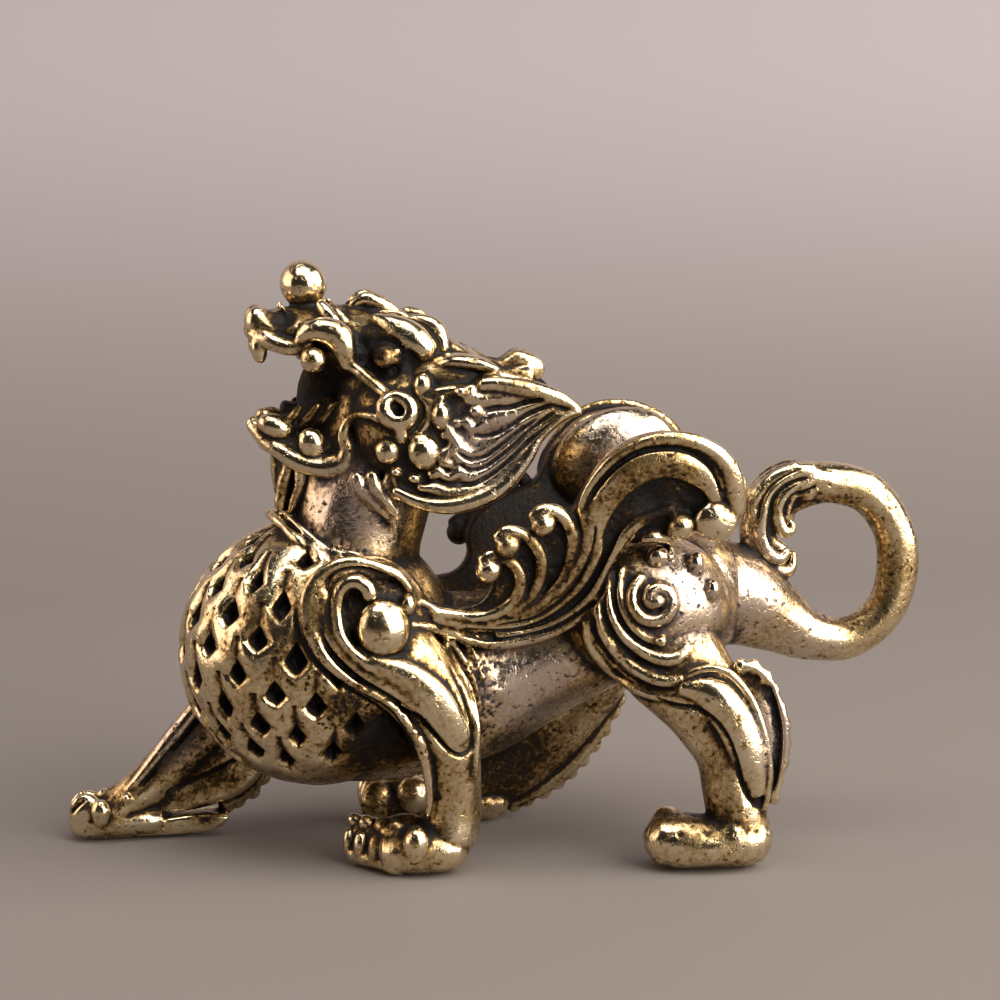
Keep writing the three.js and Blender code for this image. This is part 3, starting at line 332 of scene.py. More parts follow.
mane = {
    "face": -7.35,
    # strands from the top of the leaf down; each starts in a hook and runs up to the tip
    "strands": [
        [(-2.9, 33.3), (-3.1, 32.8), (-2.3, 32.45), (-1.3, 32.6), (-0.3, 32.5), (0.7, 32.7), (2.4, 32.7)],
        [(-3.3, 31.0), (-2.7, 30.6), (-2.0, 31.0), (-1.3, 31.25), (-0.5, 31.4), (0.5, 31.8), (1.6, 32.2),
         (2.8, 32.3)],
        [(-4.5, 30.6), (-4.1, 29.9), (-3.8, 29.2), (-2.9, 28.8), (-1.9, 29.2), (-0.8, 29.95), (0.4, 30.9),
         (2.3, 31.9)],
        [(-4.4, 28.2), (-4.9, 28.6), (-4.2, 29.0), (-3.3, 28.25), (-2.3, 28.15), (-1.4, 28.75),
         (-0.3, 29.55), (0.9, 30.65), (2.6, 31.8)],
        [(-5.2, 27.8), (-4.5, 27.3), (-3.7, 27.7), (-2.9, 27.35), (-2.0, 27.75), (-1.2, 28.25),
         (-0.2, 29.05), (1.1, 30.3), (2.9, 31.65)],
        [(-6.4, 26.6), (-5.3, 26.5), (-4.4, 26.15), (-3.3, 26.3), (-2.2, 26.65), (-1.2, 27.3), (-0.2, 28.2),
         (1.0, 29.5), (3.1, 31.1)],
    ],
    # a strand's radius and half its thickness; the radius swells: its share at the ends, at the belly and
    # by chance
    "strand": 0.6,
    "deep": 0.4,
    "swell": (0.42, 0.62, 0.14),
    "top": [(-2.2, 33.5, 0.42), (-1.4, 33.55, 0.52), (-0.3, 33.4, 0.6), (0.8, 33.15, 0.64),
            (2.0, 32.8, 0.6), (3.2, 32.35, 0.48), (4.2, 31.75, 0.3)],
    "rim": [(4.3, 31.6, 0.3), (3.2, 31.3, 0.42), (2.2, 30.6, 0.46), (1.45, 29.8, 0.48), (0.85, 28.7, 0.52),
            (0.05, 27.65, 0.56), (-0.95, 26.65, 0.6), (-2.2, 25.95, 0.62), (-3.7, 25.5, 0.6),
            (-5.1, 25.4, 0.54), (-6.6, 25.7, 0.46), (-8.0, 26.4, 0.34)],
}


def maneLeaf(bm):
    outline = [(x, z) for x, z, r in mane["top"] + mane["rim"][1:]]
    leaf(bm, outline + [(-8.2, 29.5), (-6.0, 33.0)], mane["face"] - 0.08, 3.0,
         bend=lambda x, z: 0.24 * max(0, -4.0 - x), edge=0.35)


def maneSide(bm):
    def face(x, z):
        return mane["face"] + 0.2 * max(0, -5.0 - x)

    for edge in ("top", "rim"):
        bar(bm, atY(mane[edge], lambda x, z: face(x, z) - 0.05, 0.4), sides=16)
    ends, belly, chance = mane["swell"]
    for i, strand in enumerate(mane["strands"]):
        rows = []
        for k, (x, z) in enumerate(strand):
            swell = ends + belly * sin(pi * (k + 0.4) / len(strand)) + chance * sin(2.3 * i + 1.7 * k)
            rows.append((x, z, mane["strand"] * swell))
        bar(bm, atY(rows, lambda x, z: face(x, z) + 0.08, mane["strand"], mane["deep"]))


def farLobe(bm):
    # on the far side the mane rises a little higher, in a second lobe
    outline = [(-3.0, 31.5), (-2.6, 34.3), (-1.6, 34.85), (-0.4, 34.2), (0.6, 33.8), (1.9, 34.55),
               (3.2, 34.25), (4.1, 33.3), (3.3, 32.0), (1.0, 30.8)]
    leaf(bm, outline, 5.0, 2.2, edge=0.6)
    for dip in (0.0, 0.8, 1.5):
        line = [(-2.4, 33.7 - dip), (-0.6, 33.6 - dip), (1.0, 33.0 - 0.6 * dip), (2.9, 33.3 - 0.5 * dip)]
        bar(bm, atY(line, 5.05, 0.3))


def napeAndBeard(bm):
    for y in (-3.6, -1.2, 1.2, 3.6):
        for shift in (-0.42, 0.42):
            bar(bm, [(-5.4, y * 0.8 + 0.7 * shift, 36.2, 0.5, 0.5), (-2.6, y + shift, 34.6, 0.6, 0.56),
                     (-0.4, y + shift, 31.6, 0.6, 0.56), (0.2, y * 1.1 + 0.8 * shift, 28.6, 0.5, 0.45),
                     (-0.8, y * 1.1 + 0.3 * shift, 26.6, 0.3, 0.3)])
    # the beard hangs in strands from a common root
    bar(bm, [(-14.4, 0, 28.2, 0.9, 1.2), (-14.6, 0, 26.4, 0.8, 1.1), (-14.9, 0, 24.6, 0.45, 0.8)], sides=16)
    bar(bm, [(-14.9, -0.8, 28.3, 0.55), (-14.7, -0.9, 27.4, 0.5), (-15.0, -0.8, 26.3, 0.52),
             (-15.1, -0.7, 25.5, 0.5), (-15.3, -0.7, 24.8, 0.42), (-15.15, -0.6, 23.8, 0.3)])
    bar(bm, [(-13.9, -1.6, 27.4, 0.45), (-14.0, -1.6, 26.1, 0.38), (-14.4, -1.5, 25.0, 0.34),
             (-14.6, -1.4, 24.2, 0.22)])
    bar(bm, [(-15.2, 0.8, 28.4, 0.6), (-15.2, 0.9, 27.0, 0.65), (-15.3, 0.9, 25.2, 0.3)])


# Shoulders and legs

def shoulderGround(bm):
    egg(bm, (-9.8, -6.2, 16.9), (4.3, 2.8, 5.0), detail=4)


def shoulderSide(bm, skin):
    # the scroll: its outer band, the broad inner band beside it, and the blunt hook that edges that one
    bar(bm, [(-7.2, -7.9, 19.9, 0.3), (-7.9, -8.1, 20.8, 0.36), (-8.8, -8.3, 21.35, 0.4),
             (-10.1, -8.4, 21.85, 0.42), (-11.3, -8.4, 21.95, 0.44), (-12.3, -8.35, 21.65, 0.48),
             (-13.2, -8.4, 21.0, 0.54, 0.44), (-13.75, -8.5, 20.1, 0.6, 0.44),
             (-13.95, -8.6, 19.0, 0.66, 0.44), (-13.85, -8.7, 17.7, 0.66, 0.44),
             (-13.4, -8.85, 16.5, 0.6, 0.44), (-12.65, -9.0, 15.35, 0.52), (-11.6, -9.1, 14.4, 0.46),
             (-10.6, -9.15, 13.7, 0.44), (-9.4, -9.1, 12.95, 0.42), (-8.4, -9.1, 12.1, 0.42),
             (-7.55, -9.0, 11.1, 0.42), (-6.8, -8.8, 9.9, 0.4), (-6.3, -8.5, 8.5, 0.36),
             (-6.0, -8.2, 6.8, 0.3), (-5.9, -7.9, 5.4, 0.26), (-6.0, -7.6, 4.3, 0.2)])
    bar(bm, [(-13.25, -8.5, 20.5, 0.3, 0.3), (-13.4, -8.6, 19.3, 0.55, 0.42),
             (-13.45, -8.7, 18.2, 0.5, 0.4), (-13.3, -8.75, 17.4, 0.4, 0.36)], sides=16)
    bar(bm, [(-12.9, -8.5, 20.5, 0.22, 0.25), (-13.0, -8.55, 19.4, 0.5, 0.4),
             (-12.95, -8.65, 18.4, 0.58, 0.42), (-12.75, -8.8, 17.5, 0.58, 0.42),
             (-12.3, -8.95, 16.6, 0.58, 0.44), (-11.55, -9.05, 15.75, 0.6, 0.46),
             (-10.75, -9.15, 14.95, 0.62, 0.48), (-9.7, -9.3, 14.2, 0.66, 0.5),
             (-8.6, -9.4, 13.6, 0.72, 0.5), (-7.4, -9.45, 12.95, 0.75, 0.5),
             (-6.3, -9.4, 12.0, 0.5, 0.45)], sides=16)
    bar(bm, [(-9.95, -9.1, 19.65, 0.46), (-10.1, -9.0, 20.25, 0.52), (-10.75, -8.9, 20.7, 0.5),
             (-11.4, -8.8, 20.6, 0.48), (-11.9, -8.8, 20.1, 0.46), (-12.15, -8.85, 19.3, 0.46),
             (-12.15, -8.95, 18.3, 0.45), (-11.95, -9.1, 17.25, 0.45), (-11.45, -9.2, 16.4, 0.45),
             (-10.7, -9.3, 15.65, 0.46), (-9.8, -9.4, 15.0, 0.5), (-8.9, -9.4, 14.4, 0.5)], blunt=0.35)
    egg(bm, (-9.1, -8.7, 17.4), (1.85, 1.45, 2.1), detail=4)
    egg(bm, (-7.4, -8.6, 19.0), (0.52, 0.55, 0.74))
    behind = skin(0.05, -9.4, -5.0)
    for ridge in (
        [(-5.1, 16.3), (-4.0, 14.6), (-3.1, 12.8), (-2.75, 10.8), (-2.8, 9.0), (-2.9, 7.2)],
        [(-7.1, 17.6), (-6.0, 17.3), (-4.6, 16.4), (-3.4, 14.7), (-2.55, 12.9), (-2.3, 11.0)],
        [(-6.4, 19.0), (-5.2, 18.2), (-3.9, 16.6), (-2.7, 15.1), (-2.0, 13.3)],
    ):
        bar(bm, atY(ridge, behind, 0.24))


def paw(bm, heel, toes):
    # a broad pad, and for each toe a bead at its knuckle and a rounded tip below it
    bar(bm, heel, sides=28, blunt=1.0)
    for bead, tip, radii in toes:
        if bead:
            egg(bm, bead[:3], bead[3])
        egg(bm, tip, radii)


def frontLegForm(bm):
    bar(bm, [(-8.6, -7.0, 16.2, 2.6, 2.2), (-6.4, -7.3, 13.4, 2.7, 2.2), (-4.8, -7.3, 10.6, 2.4, 2.1),
             (-4.2, -6.9, 7.6, 1.95, 1.9), (-4.05, -6.4, 4.8, 1.85, 1.8),
             (-4.3, -6.2, 2.9, 2.0, 2.1)], sides=28, blunt=1.0)


def nearFrontLeg(bm):
    bar(bm, [(-9.9, -9.35, 15.4, 0.6, 0.5), (-9.0, -9.4, 14.9, 0.85, 0.55), (-7.6, -9.5, 14.2, 1.1, 0.6),
             (-5.9, -9.6, 12.8, 1.25, 0.65), (-4.8, -9.4, 11.1, 1.1, 0.6),
             (-4.0, -9.0, 9.9, 0.85, 0.5)], sides=20)
    # the row of toes runs slantwise across the front of the paw
    flat = (0, 0, 1)
    bar(bm, [(-9.9, -3.4, 1.8, 1.15, 1.6), (-8.7, -4.9, 1.8, 1.2, 1.65), (-7.5, -6.4, 1.8, 1.15, 1.6)],
        sides=24, across=flat, blunt=0.9)
    bar(bm, [(-10.1, -3.5, 0.85, 1.35, 0.85), (-8.9, -5.1, 0.85, 1.4, 0.85), (-7.7, -6.7, 0.85, 1.3, 0.85)],
        sides=24, across=flat, blunt=0.9)
    paw(bm,
        heel=[(-4.7, -6.3, 1.8, 1.75, 2.2), (-6.4, -6.2, 1.8, 1.8, 2.4), (-7.6, -5.8, 1.7, 1.7, 2.4)],
        toes=[
            ((-10.6, -3.4, 3.05, 0.46), (-11.0, -3.75, 1.55), (0.46, 0.5, 1.05)),
            ((-9.85, -4.4, 3.1, 0.56), (-10.3, -4.85, 1.55), (0.5, 0.55, 1.1)),
            ((-8.85, -5.5, 3.15, 0.62), (-9.35, -6.0, 1.6), (0.62, 0.6, 1.15)),
            ((-8.05, -6.5, 3.35, 0.46), (-8.45, -7.05, 1.6), (0.42, 0.5, 1.2)),
        ])
    egg(bm, (-7.4, -5.6, 2.6), (2.0, 1.8, 1.3))
    egg(bm, (-6.85, -7.95, 2.4), (0.92, 0.95, 1.4))


def farFrontLegForm(bm):
    bar(bm, [(-12.0, 6.4, 14.6, 3.0, 2.4), (-16.2, 6.8, 11.2, 2.7, 2.2), (-20.2, 6.4, 7.6, 2.2, 2.0),
             (-23.8, 5.9, 4.3, 1.7, 1.8), (-27.0, 5.6, 1.9, 1.4, 1.8)], sides=28)
    leaf(bm, [(-26.0, 2.0), (-22.6, 6.0), (-17.0, 8.0), (-16.2, 5.2), (-17.6, 3.2), (-20.0, 2.2),
              (-23.0, 1.8)],
         4.7, 2.6, edge=0.5)


def farFrontLeg(bm):
    paw(bm,
        heel=[(-24.4, 5.7, 1.3, 1.2, 1.6), (-26.8, 5.6, 1.4, 1.35, 1.8), (-29.0, 5.5, 1.4, 1.35, 1.7)],
        toes=[
            (None, (-28.9, 4.5, 2.3), (1.25, 0.75, 1.3)),
            ((-27.6, 5.9, 2.9, 0.6), (-28.9, 6.0, 2.2), (1.2, 0.7, 1.2)),
            (None, (-28.5, 7.1, 1.9), (1.0, 0.6, 1.1)),
        ])
    egg(bm, (-27.9, 3.9, 2.3), (0.66, 0.6, 0.95))
    egg(bm, (-26.1, 4.1, 3.2), 0.38)
    leaf(bm, [(-26.5, 0.2), (-26.5, 0.9), (-22.0, 1.6), (-19.0, 1.5), (-20.5, 0.4)], 4.6, 2.4, edge=0.2)
    fin(bm, [(-16.4, 5.0), (-17.5, 3.3), (-19.2, 2.4)], 6.0, 0.95)
    # the shin's flat front edge
    bar(bm, [(-20.6, 5.0, 10.0, 0.5, 0.6), (-21.7, 4.8, 8.7, 0.55, 0.6), (-22.9, 4.7, 7.2, 0.58, 0.6),
             (-24.1, 4.6, 5.7, 0.55, 0.6), (-25.4, 4.6, 4.2, 0.45, 0.5), (-26.3, 4.7, 3.4, 0.3)], sides=16)


def alongLine(points):
    # the length of a line of the side view
    return sum(hypot(b[0] - a[0], b[1] - a[1]) for a, b in zip(points, points[1:]))


def fin(bm, points, y, radius):
    # a row of rounded tufts along the back edge of a leg
    count = round(alongLine(points) / (radius * 1.15))
    bar(bm, [(x, y, z, 0.8 * radius, 0.85 * radius) for x, z in points])
    for i in range(count + 1):
        x, z = spline(points, i / count)
        ahead = Vector(spline(points, min(1, i / count + 0.05)))
        run = ahead - Vector(spline(points, max(0, i / count - 0.05)))
        run.normalize()
        middle = (x - 0.5 * radius * run[1], y, z + 0.5 * radius * run[0])
        egg(bm, middle, (radius * 0.66, radius * 0.55, radius * 0.66))


def hindLegForm(bm):
    bar(bm, [(9.4, -4.6, 17.0, 4.2, 3.4), (11.0, -5.9, 14.3, 3.7, 2.9), (13.3, -6.9, 11.1, 3.0, 2.5),
             (14.8, -7.5, 8.0, 2.4, 2.2), (15.1, -7.8, 4.8, 2.1, 2.0),
             (15.6, -7.8, 2.0, 2.1, 2.1)], sides=28)


def nearHindLeg(bm):
    paw(bm,
        heel=[(15.8, -7.8, 2.0, 2.0, 2.3), (13.4, -7.8, 1.85, 1.85, 2.4), (11.3, -7.7, 1.95, 1.95, 2.3),
              (10.6, -7.6, 2.1, 1.8, 2.1)],
        toes=[(None, (10.7, -6.9, 3.0), (1.1, 1.5, 1.1)), (None, (10.1, -7.6, 1.7), (1.0, 1.8, 1.5))])
    bar(bm, [(11.4, -9.0, 1.5, 1.0, 0.9), (13.2, -9.1, 1.6, 1.1, 0.9),
             (15.0, -9.2, 2.3, 1.6, 1.0)], sides=20, blunt=1.0)
    bar(bm, [(10.6, -8.5, 13.0, 0.24), (12.4, -9.1, 14.15, 0.3), (14.1, -9.3, 14.0, 0.3),
             (15.6, -9.4, 12.4, 0.3), (16.6, -9.5, 10.0, 0.3), (17.15, -9.5, 7.0, 0.3),
             (16.9, -9.3, 4.4, 0.24)])
    bar(bm, [(11.3, -8.8, 12.9, 0.6, 0.5), (13.3, -9.2, 12.3, 1.25, 0.7), (14.8, -9.5, 10.2, 1.35, 0.7),
             (15.8, -9.6, 7.6, 1.05, 0.62), (16.3, -9.4, 5.6, 0.55, 0.5)], sides=20)
    # the fin: a web behind the shin with a scalloped rim
    rim = [(15.3, 14.1), (16.3, 14.0), (17.2, 13.1), (17.7, 12.0), (18.2, 10.6), (18.35, 9.2), (18.3, 7.7),
           (18.0, 6.3), (17.7, 5.0)]
    leaf(bm, [*rim, (16.2, 5.0), (15.4, 9.0), (14.4, 12.6)], -8.5, 1.9, edge=0.4)
    scallopedRim(bm, rim, -8.5, 0.44)


def scallopedRim(bm, points, y, radius):
    count = round(alongLine(points) / (radius * 2.6))
    bar(bm, atY(points, y, radius * 0.85))
    for i in range(count + 1):
        x, z = spline(points, i / count)
        fat = radius * (1.15 + 0.2 * sin(3.1 * i))
        egg(bm, (x, y + 0.05, z), (fat, radius * 0.85, fat * 1.15))


def farHindLeg(bm):
    bar(bm, [(8.8, 4.8, 16.6, 4.4, 3.6), (6.8, 6.4, 11.6, 4.0, 2.7), (3.9, 7.0, 7.2, 3.7, 2.4),
             (0.9, 7.0, 4.2, 3.1, 2.2), (-2.4, 7.0, 2.2, 2.0, 2.1)], sides=28)
    paw(bm,
        heel=[(0.2, 7.0, 1.5, 1.5, 2.1), (-3.4, 7.0, 1.7, 1.7, 2.3), (-7.0, 7.0, 1.8, 1.8, 2.3)],
        toes=[(None, (-8.2, y, 1.9), (1.2, 0.78, 1.65)) for y in (5.4, 7.0, 8.6)])
    egg(bm, (-5.6, 5.0, 2.5), (1.3, 0.9, 1.4))
    fin(bm, [(9.2, 8.9), (8.0, 6.4), (6.2, 4.1), (4.2, 2.5), (1.8, 1.5)], 7.0, 1.0)


# Hip, wings and tail

hip = {
    "centre": (9.3, -4.2, 17.7),
    "radii": (6.1, 4.5, 5.2),
    # the coil: its middle, outer radius, where it begins in degrees, its turns and how far in it winds
    "spiral": (9.35, 18.85),
    "outer": 1.8,
    "begins": 120,
    "turns": 1.4,
    "winds": 0.86,
    "arcs": [
        [(7.3, 20.9, 0.3), (6.95, 19.6, 0.36), (7.15, 18.3, 0.4), (7.75, 17.2, 0.42), (8.6, 16.4, 0.42),
         (9.6, 16.1, 0.34)],
        [(6.5, 20.6, 0.3), (6.2, 19.3, 0.36), (6.4, 17.9, 0.4), (7.1, 16.6, 0.44), (8.1, 15.7, 0.46),
         (9.1, 15.05, 0.46), (10.2, 14.75, 0.44), (11.1, 15.0, 0.4), (11.6, 15.6, 0.3)],
        [(5.6, 18.8, 0.3), (5.6, 17.3, 0.36), (6.3, 15.9, 0.42), (7.3, 14.7, 0.46), (8.6, 13.75, 0.48),
         (9.9, 13.3, 0.44), (11.1, 13.5, 0.3)],
        [(4.9, 17.2, 0.3), (5.1, 15.9, 0.36), (5.9, 14.6, 0.42), (7.1, 13.4, 0.44), (8.3, 12.6, 0.42),
         (9.4, 12.2, 0.36), (10.4, 12.0, 0.24)],
    ],
}


def hipForm(bm):
    egg(bm, hip["centre"], hip["radii"], detail=4)


def hipSide(bm, skin):
    laid = skin(-0.1, -9.4, -4.0)
    for line in hip["arcs"]:
        bar(bm, atY(line, laid, 0.4))
    coil = []
    count = 14
    for i in range(count + 1):
        turn = radians(hip["begins"]) + 2 * pi * hip["turns"] * i / count
        radius = hip["outer"] * (1 - hip["winds"] * i / count)
        x, z = hip["spiral"][0] + cos(turn) * radius, hip["spiral"][1] + sin(turn) * radius
        coil.append((x, z, 0.3 + 0.24 * sin(pi * (i + 1) / (count + 2))))
    laid = skin(0.14, -9.6, -4.0)
    bar(bm, atY(coil, laid, 0.5))
    bar(bm, atY([(8.3, 22.7, 0.25), (9.1, 23.1, 0.34), (10.2, 22.95, 0.36), (10.8, 22.2, 0.34),
                 (10.6, 21.5, 0.26)],
                laid, 0.3))
    laid = skin(0.3, -9.8, -4.0)
    for x, z, radii in ((9.7, 21.65, (0.76, 0.65, 0.76)), (12.4, 21.0, (0.6, 0.65, 0.94)),
                        (13.5, 19.3, (0.5, 0.6, 0.78)), (9.7, 16.1, 0.38), (9.4, 18.8, 0.45)):
        egg(bm, (x, laid(x, z), z), radii)


wing = {
    "rootY": -6.4,
    "rootZ": 16.2,
    "lean": 0.26,
    "thickness": 1.7,
    "outline": [
        (-6.4, 18.7), (-6.6, 17.2), (-2.6, 15.8), (0.9, 15.8), (4.2, 17.1), (6.0, 19.6), (7.4, 22.6),
        (11.4, 23.2), (14.2, 24.4), (14.3, 27.6), (11.6, 29.6), (7.8, 29.6), (4.9, 27.2), (3.6, 24.9),
        (1.6, 24.0), (-0.5, 22.9), (-1.6, 21.4), (-1.5, 19.8), (-2.4, 18.6), (-4.2, 18.3),
    ],
    "curls": [
        {"ball": (1.65, 24.25, 0.72), "stem": [
            (0.95, 24.75), (1.6, 25.15), (2.5, 25.1), (3.25, 24.4), (3.7, 23.3), (3.75, 22.2), (3.45, 20.9),
            (2.7, 19.6), (1.5, 18.5), (0.0, 17.9)]},
        {"ball": (-0.65, 22.85, 0.74), "stem": [
            (-1.3, 23.3), (-0.8, 23.75), (0.0, 23.7), (0.8, 23.2), (1.4, 22.4), (1.7, 21.3), (1.55, 20.1),
            (0.9, 18.9), (-0.4, 18.0)]},
        {"ball": (-1.9, 21.1, 0.74), "stem": [
            (-2.3, 21.7), (-1.8, 22.05), (-1.0, 21.95), (-0.3, 21.55), (0.2, 20.8), (0.3, 19.8),
            (-0.2, 18.7), (-1.5, 17.9), (-3.0, 17.7)]},
    ],
    "ridges": [
        [(4.4, 25.0), (4.6, 23.7), (4.45, 22.2), (4.0, 20.6), (3.1, 19.1), (1.9, 18.15), (0.3, 17.5),
         (-1.8, 17.25)],
        [(5.5, 23.4), (5.45, 22.3), (5.0, 21.1), (4.2, 19.7), (2.8, 18.4), (1.1, 17.5), (-1.0, 16.95),
         (-3.4, 17.2), (-5.4, 17.8)],
        [(7.6, 23.4), (6.9, 22.4), (6.1, 20.9), (5.3, 19.4), (4.2, 18.2), (2.7, 17.3), (1.0, 16.7),
         (-1.0, 16.4)],
        [(10.4, 25.1), (9.1, 24.75), (8.0, 24.1), (6.9, 22.8), (6.2, 21.1), (5.7, 19.4), (4.9, 18.1),
         (3.9, 17.2), (2.5, 16.45), (0.8, 15.95), (-0.9, 15.75), (-2.6, 16.05), (-4.0, 16.6), (-5.6, 17.2)],
    ],
    "ridge": 0.4,
    # the blunt end of the arch and the ball beside it: place, radii, how far out
    "ends": [((13.3, 24.25), (1.5, 0.7, 1.42), 0.8), ((10.95, 23.9), 1.0, 0.5)],
    "root": [(-6.5, 18.5), (-5.4, 18.15), (-4.1, 17.95), (-2.9, 17.75), (-1.9, 17.7)],
    "rim": [(4.2, 25.2, 0.3), (4.5, 26.2, 0.34), (5.1, 27.3, 0.36), (6.0, 28.4, 0.38), (7.2, 29.3, 0.4),
            (8.6, 29.85, 0.42), (10.0, 30.0, 0.44), (11.6, 29.75, 0.5), (13.0, 29.0, 0.62),
            (14.0, 27.9, 0.76), (14.5, 26.5, 0.88), (14.5, 25.2, 0.92), (13.9, 24.1, 0.85),
            (13.0, 23.6, 0.7)],
    "band": [(2.9, 19.4, 0.3), (4.2, 21.4, 0.5), (4.95, 23.2, 0.78), (5.45, 25.2, 1.0), (6.5, 26.95, 1.15),
             (8.0, 28.1, 1.22), (9.8, 28.45, 1.22), (11.5, 28.05, 1.15), (12.8, 27.1, 0.95),
             (13.3, 26.0, 0.65)],
}


def onWing(points, radius, deep=None, out=0.25):
    rows = []
    for x, z, *own in points:
        y = wing["rootY"] - wing["lean"] * (z - wing["rootZ"]) + 0.2 - out
        fat = own[0] if own else radius
        rows.append((x, y, z, fat, deep or 0.9 * fat))
    return rows


def wingForm(bm):
    leaf(bm, wing["outline"], wing["rootY"], wing["thickness"],
         bend=lambda x, z: -wing["lean"] * (z - wing["rootZ"]))
    egg(bm, (9.4, -6.95, 26.3), (4.8, 1.9, 3.7), tilt=-20, detail=4)  # it swells inwards under the arch


def wingSide(bm):
    bar(bm, onWing(wing["rim"], 0.42, out=0.15), sides=16)
    bar(bm, onWing(wing["band"], 0.78, deep=0.66, out=0.26), sides=20)
    bar(bm, onWing(wing["root"], 0.4))
    for ridge in wing["ridges"]:
        bar(bm, onWing(ridge, wing["ridge"], out=0.3))
    for (x, z), radii, out in wing["ends"]:
        egg(bm, onWing([(x, z)], 0, deep=1, out=out)[0][:3], radii)
    for curl in wing["curls"]:
        last = len(curl["stem"]) - 1
        stem = [(x, z, 0.5 - 0.12 * k / last) for k, (x, z) in enumerate(curl["stem"])]
        bar(bm, onWing(stem, 0.45, out=0.35))
        x, z, radius = curl["ball"]
        egg(bm, onWing([(x, z)], 0, deep=1, out=0.45)[0][:3], radius * 1.2)


tail = {
    "tube": 1.48,
    "core": [
        [(23.2, 25.7, 1.1), (20.6, 25.8, 1.1), (18.5, 24.5, 1.0), (17.8, 22.4, 0.85), (18.2, 20.4, 0.75),
         (19.4, 19.3, 0.65), (20.6, 19.2, 0.5), (20.9, 20.4, 0.3)],
        [(23.0, 25.2, 1.0), (20.8, 24.9, 1.0), (19.2, 23.4, 0.9), (18.9, 21.6, 0.8), (20.2, 20.7, 0.4)],
        [(23.6, 24.9, 0.9), (21.8, 24.5, 0.9), (20.6, 23.7, 0.7), (20.6, 22.7, 0.4)],
    ],
    "strands": [
        [(21.9, 26.4, 0.5), (20.5, 26.2, 0.6), (19.4, 25.5, 0.62), (18.6, 24.5, 0.62), (18.4, 23.3, 0.6),
         (18.3, 22.1, 0.55), (18.6, 21.0, 0.5), (19.2, 20.3, 0.45), (19.9, 20.2, 0.4), (20.2, 20.7, 0.28)],
        [(22.3, 26.1, 0.5), (21.0, 25.6, 0.6), (20.0, 24.8, 0.6), (19.5, 23.8, 0.55), (19.6, 22.8, 0.5),
         (20.0, 22.1, 0.42), (20.5, 22.2, 0.34), (20.6, 22.7, 0.22)],
        [(20.8, 26.7, 0.35), (19.3, 26.0, 0.42), (18.3, 25.1, 0.42), (17.8, 24.3, 0.4), (17.75, 23.4, 0.38),
         (18.0, 22.8, 0.25)],
        [(22.0, 26.1, 0.5), (21.65, 25.4, 0.6), (21.75, 24.6, 0.5)],
        [(23.9, 26.2, 0.3), (22.9, 25.7, 0.42), (22.4, 24.9, 0.35)],
        [(21.2, 25.0, 0.35), (20.5, 24.4, 0.35), (20.2, 23.5, 0.32), (20.3, 22.9, 0.22)],
    ],
    "strandY": -0.98,
}


def tailRing(bm):
    r = tail["tube"]
    bar(bm, [(11.0, 0, 18.6, 4.2, 5.6), (14.0, 0, 18.1, 4.0, 4.7), (17.0, 0, 17.2, 3.5, 3.5),
             (19.5, 0, 15.9, 2.6, 2.5), (22.0, 0, 14.5, 1.85, 1.9), (25.0, 0, 14.2, r), (27.6, 0, 16.0, r),
             (28.55, 0, 19.0, r), (28.1, 0, 22.2, r), (26.2, 0, 24.6, r), (23.4, 0, 25.4, r),
             (21.2, 0, 25.2, 1.4, 1.5)], sides=32, perSpan=6)
    for i, strand in enumerate(tail["core"]):
        bar(bm, [(x, 0, z, radius, (1.4 - 0.15 * i) * radius) for x, z, radius in strand])


def tailStrands(bm):
    for strand in tail["strands"]:
        bar(bm, atY(strand, tail["strandY"], 0.5))


# The casting: all forms run together, softened, then worked over

casting = {
    "fineGrain": 0.105,  # mm between the points of the skin
    "grain": 0.105,
    "soften": 4,
    # the hand-worked wax wanders from its true form: about how many mm, in how many waves of what length
    "wobble": 0.035,
    "waves": 10,
    "waveMm": (1.6, 5),
    "mostTriangles": 196000,
}


def drawForms():
    bm = bmesh.new()
    body(bm)
    skull(bm)
    for build in (headSwellings, maneLeaf, shoulderGround, hipForm, wingForm):
        bothSides(bm, build)
    for build in (frontLegForm, farFrontLegForm, hindLegForm):
        build(bm)
    skin = skinFinder(bm)
    for build in (collarSide, muzzleSide, browSide, maneSide, wingSide, tailStrands):
        bothSides(bm, build)
    for build in (cheekSide, shoulderSide, hipSide):
        bothSides(bm, build, skin)
    for build in (farLobe, napeAndBeard, nearFrontLeg, farFrontLeg, nearHindLeg, farHindLeg, tailRing):
        build(bm)
    mesh = bpy.data.meshes.new("pixiuCasting")
    bm.to_mesh(mesh)
    bm.free()
    print("forms drawn:", len(mesh.vertices), "vertices")
    return mesh


def runTogether(mesh):
    piece = bpy.data.objects.new("pixiuCasting", mesh)
    bpy.context.scene.collection.objects.link(piece)
    remesh = piece.modifiers.new("remesh", "REMESH")
    remesh.mode = "VOXEL"
    remesh.voxel_size = casting["grain"]
    remesh.adaptivity = 0
    smooth = piece.modifiers.new("smooth", "SMOOTH")
    smooth.factor = 0.5
    smooth.iterations = casting["soften"]
    bake(piece)
    print("run together:", len(piece.data.vertices), "vertices")
    return piece


def bake(piece):
    # applies what modifiers stand on the piece
    graph = bpy.context.evaluated_depsgraph_get()
    finished = bpy.data.meshes.new_from_object(piece.evaluated_get(graph))
    old = piece.data
    piece.modifiers.clear()
    piece.data = finished
    bpy.data.meshes.remove(old)


def readPoints(mesh, what="co"):
    values = np.empty(len(mesh.vertices) * 3)
    mesh.vertices.foreach_get(what, values)
    return values.reshape(-1, 3)


def writePoints(mesh, points):
    mesh.vertices.foreach_set("co", points.ravel())
    mesh.update()


def ease(x):
    x = np.clip(x, 0, 1)
    return x * x * (3 - 2 * x)


def atLeast(values, here, least):
    # lifts the chosen values to the least they may be
    values[here] = np.maximum(values[here], least)


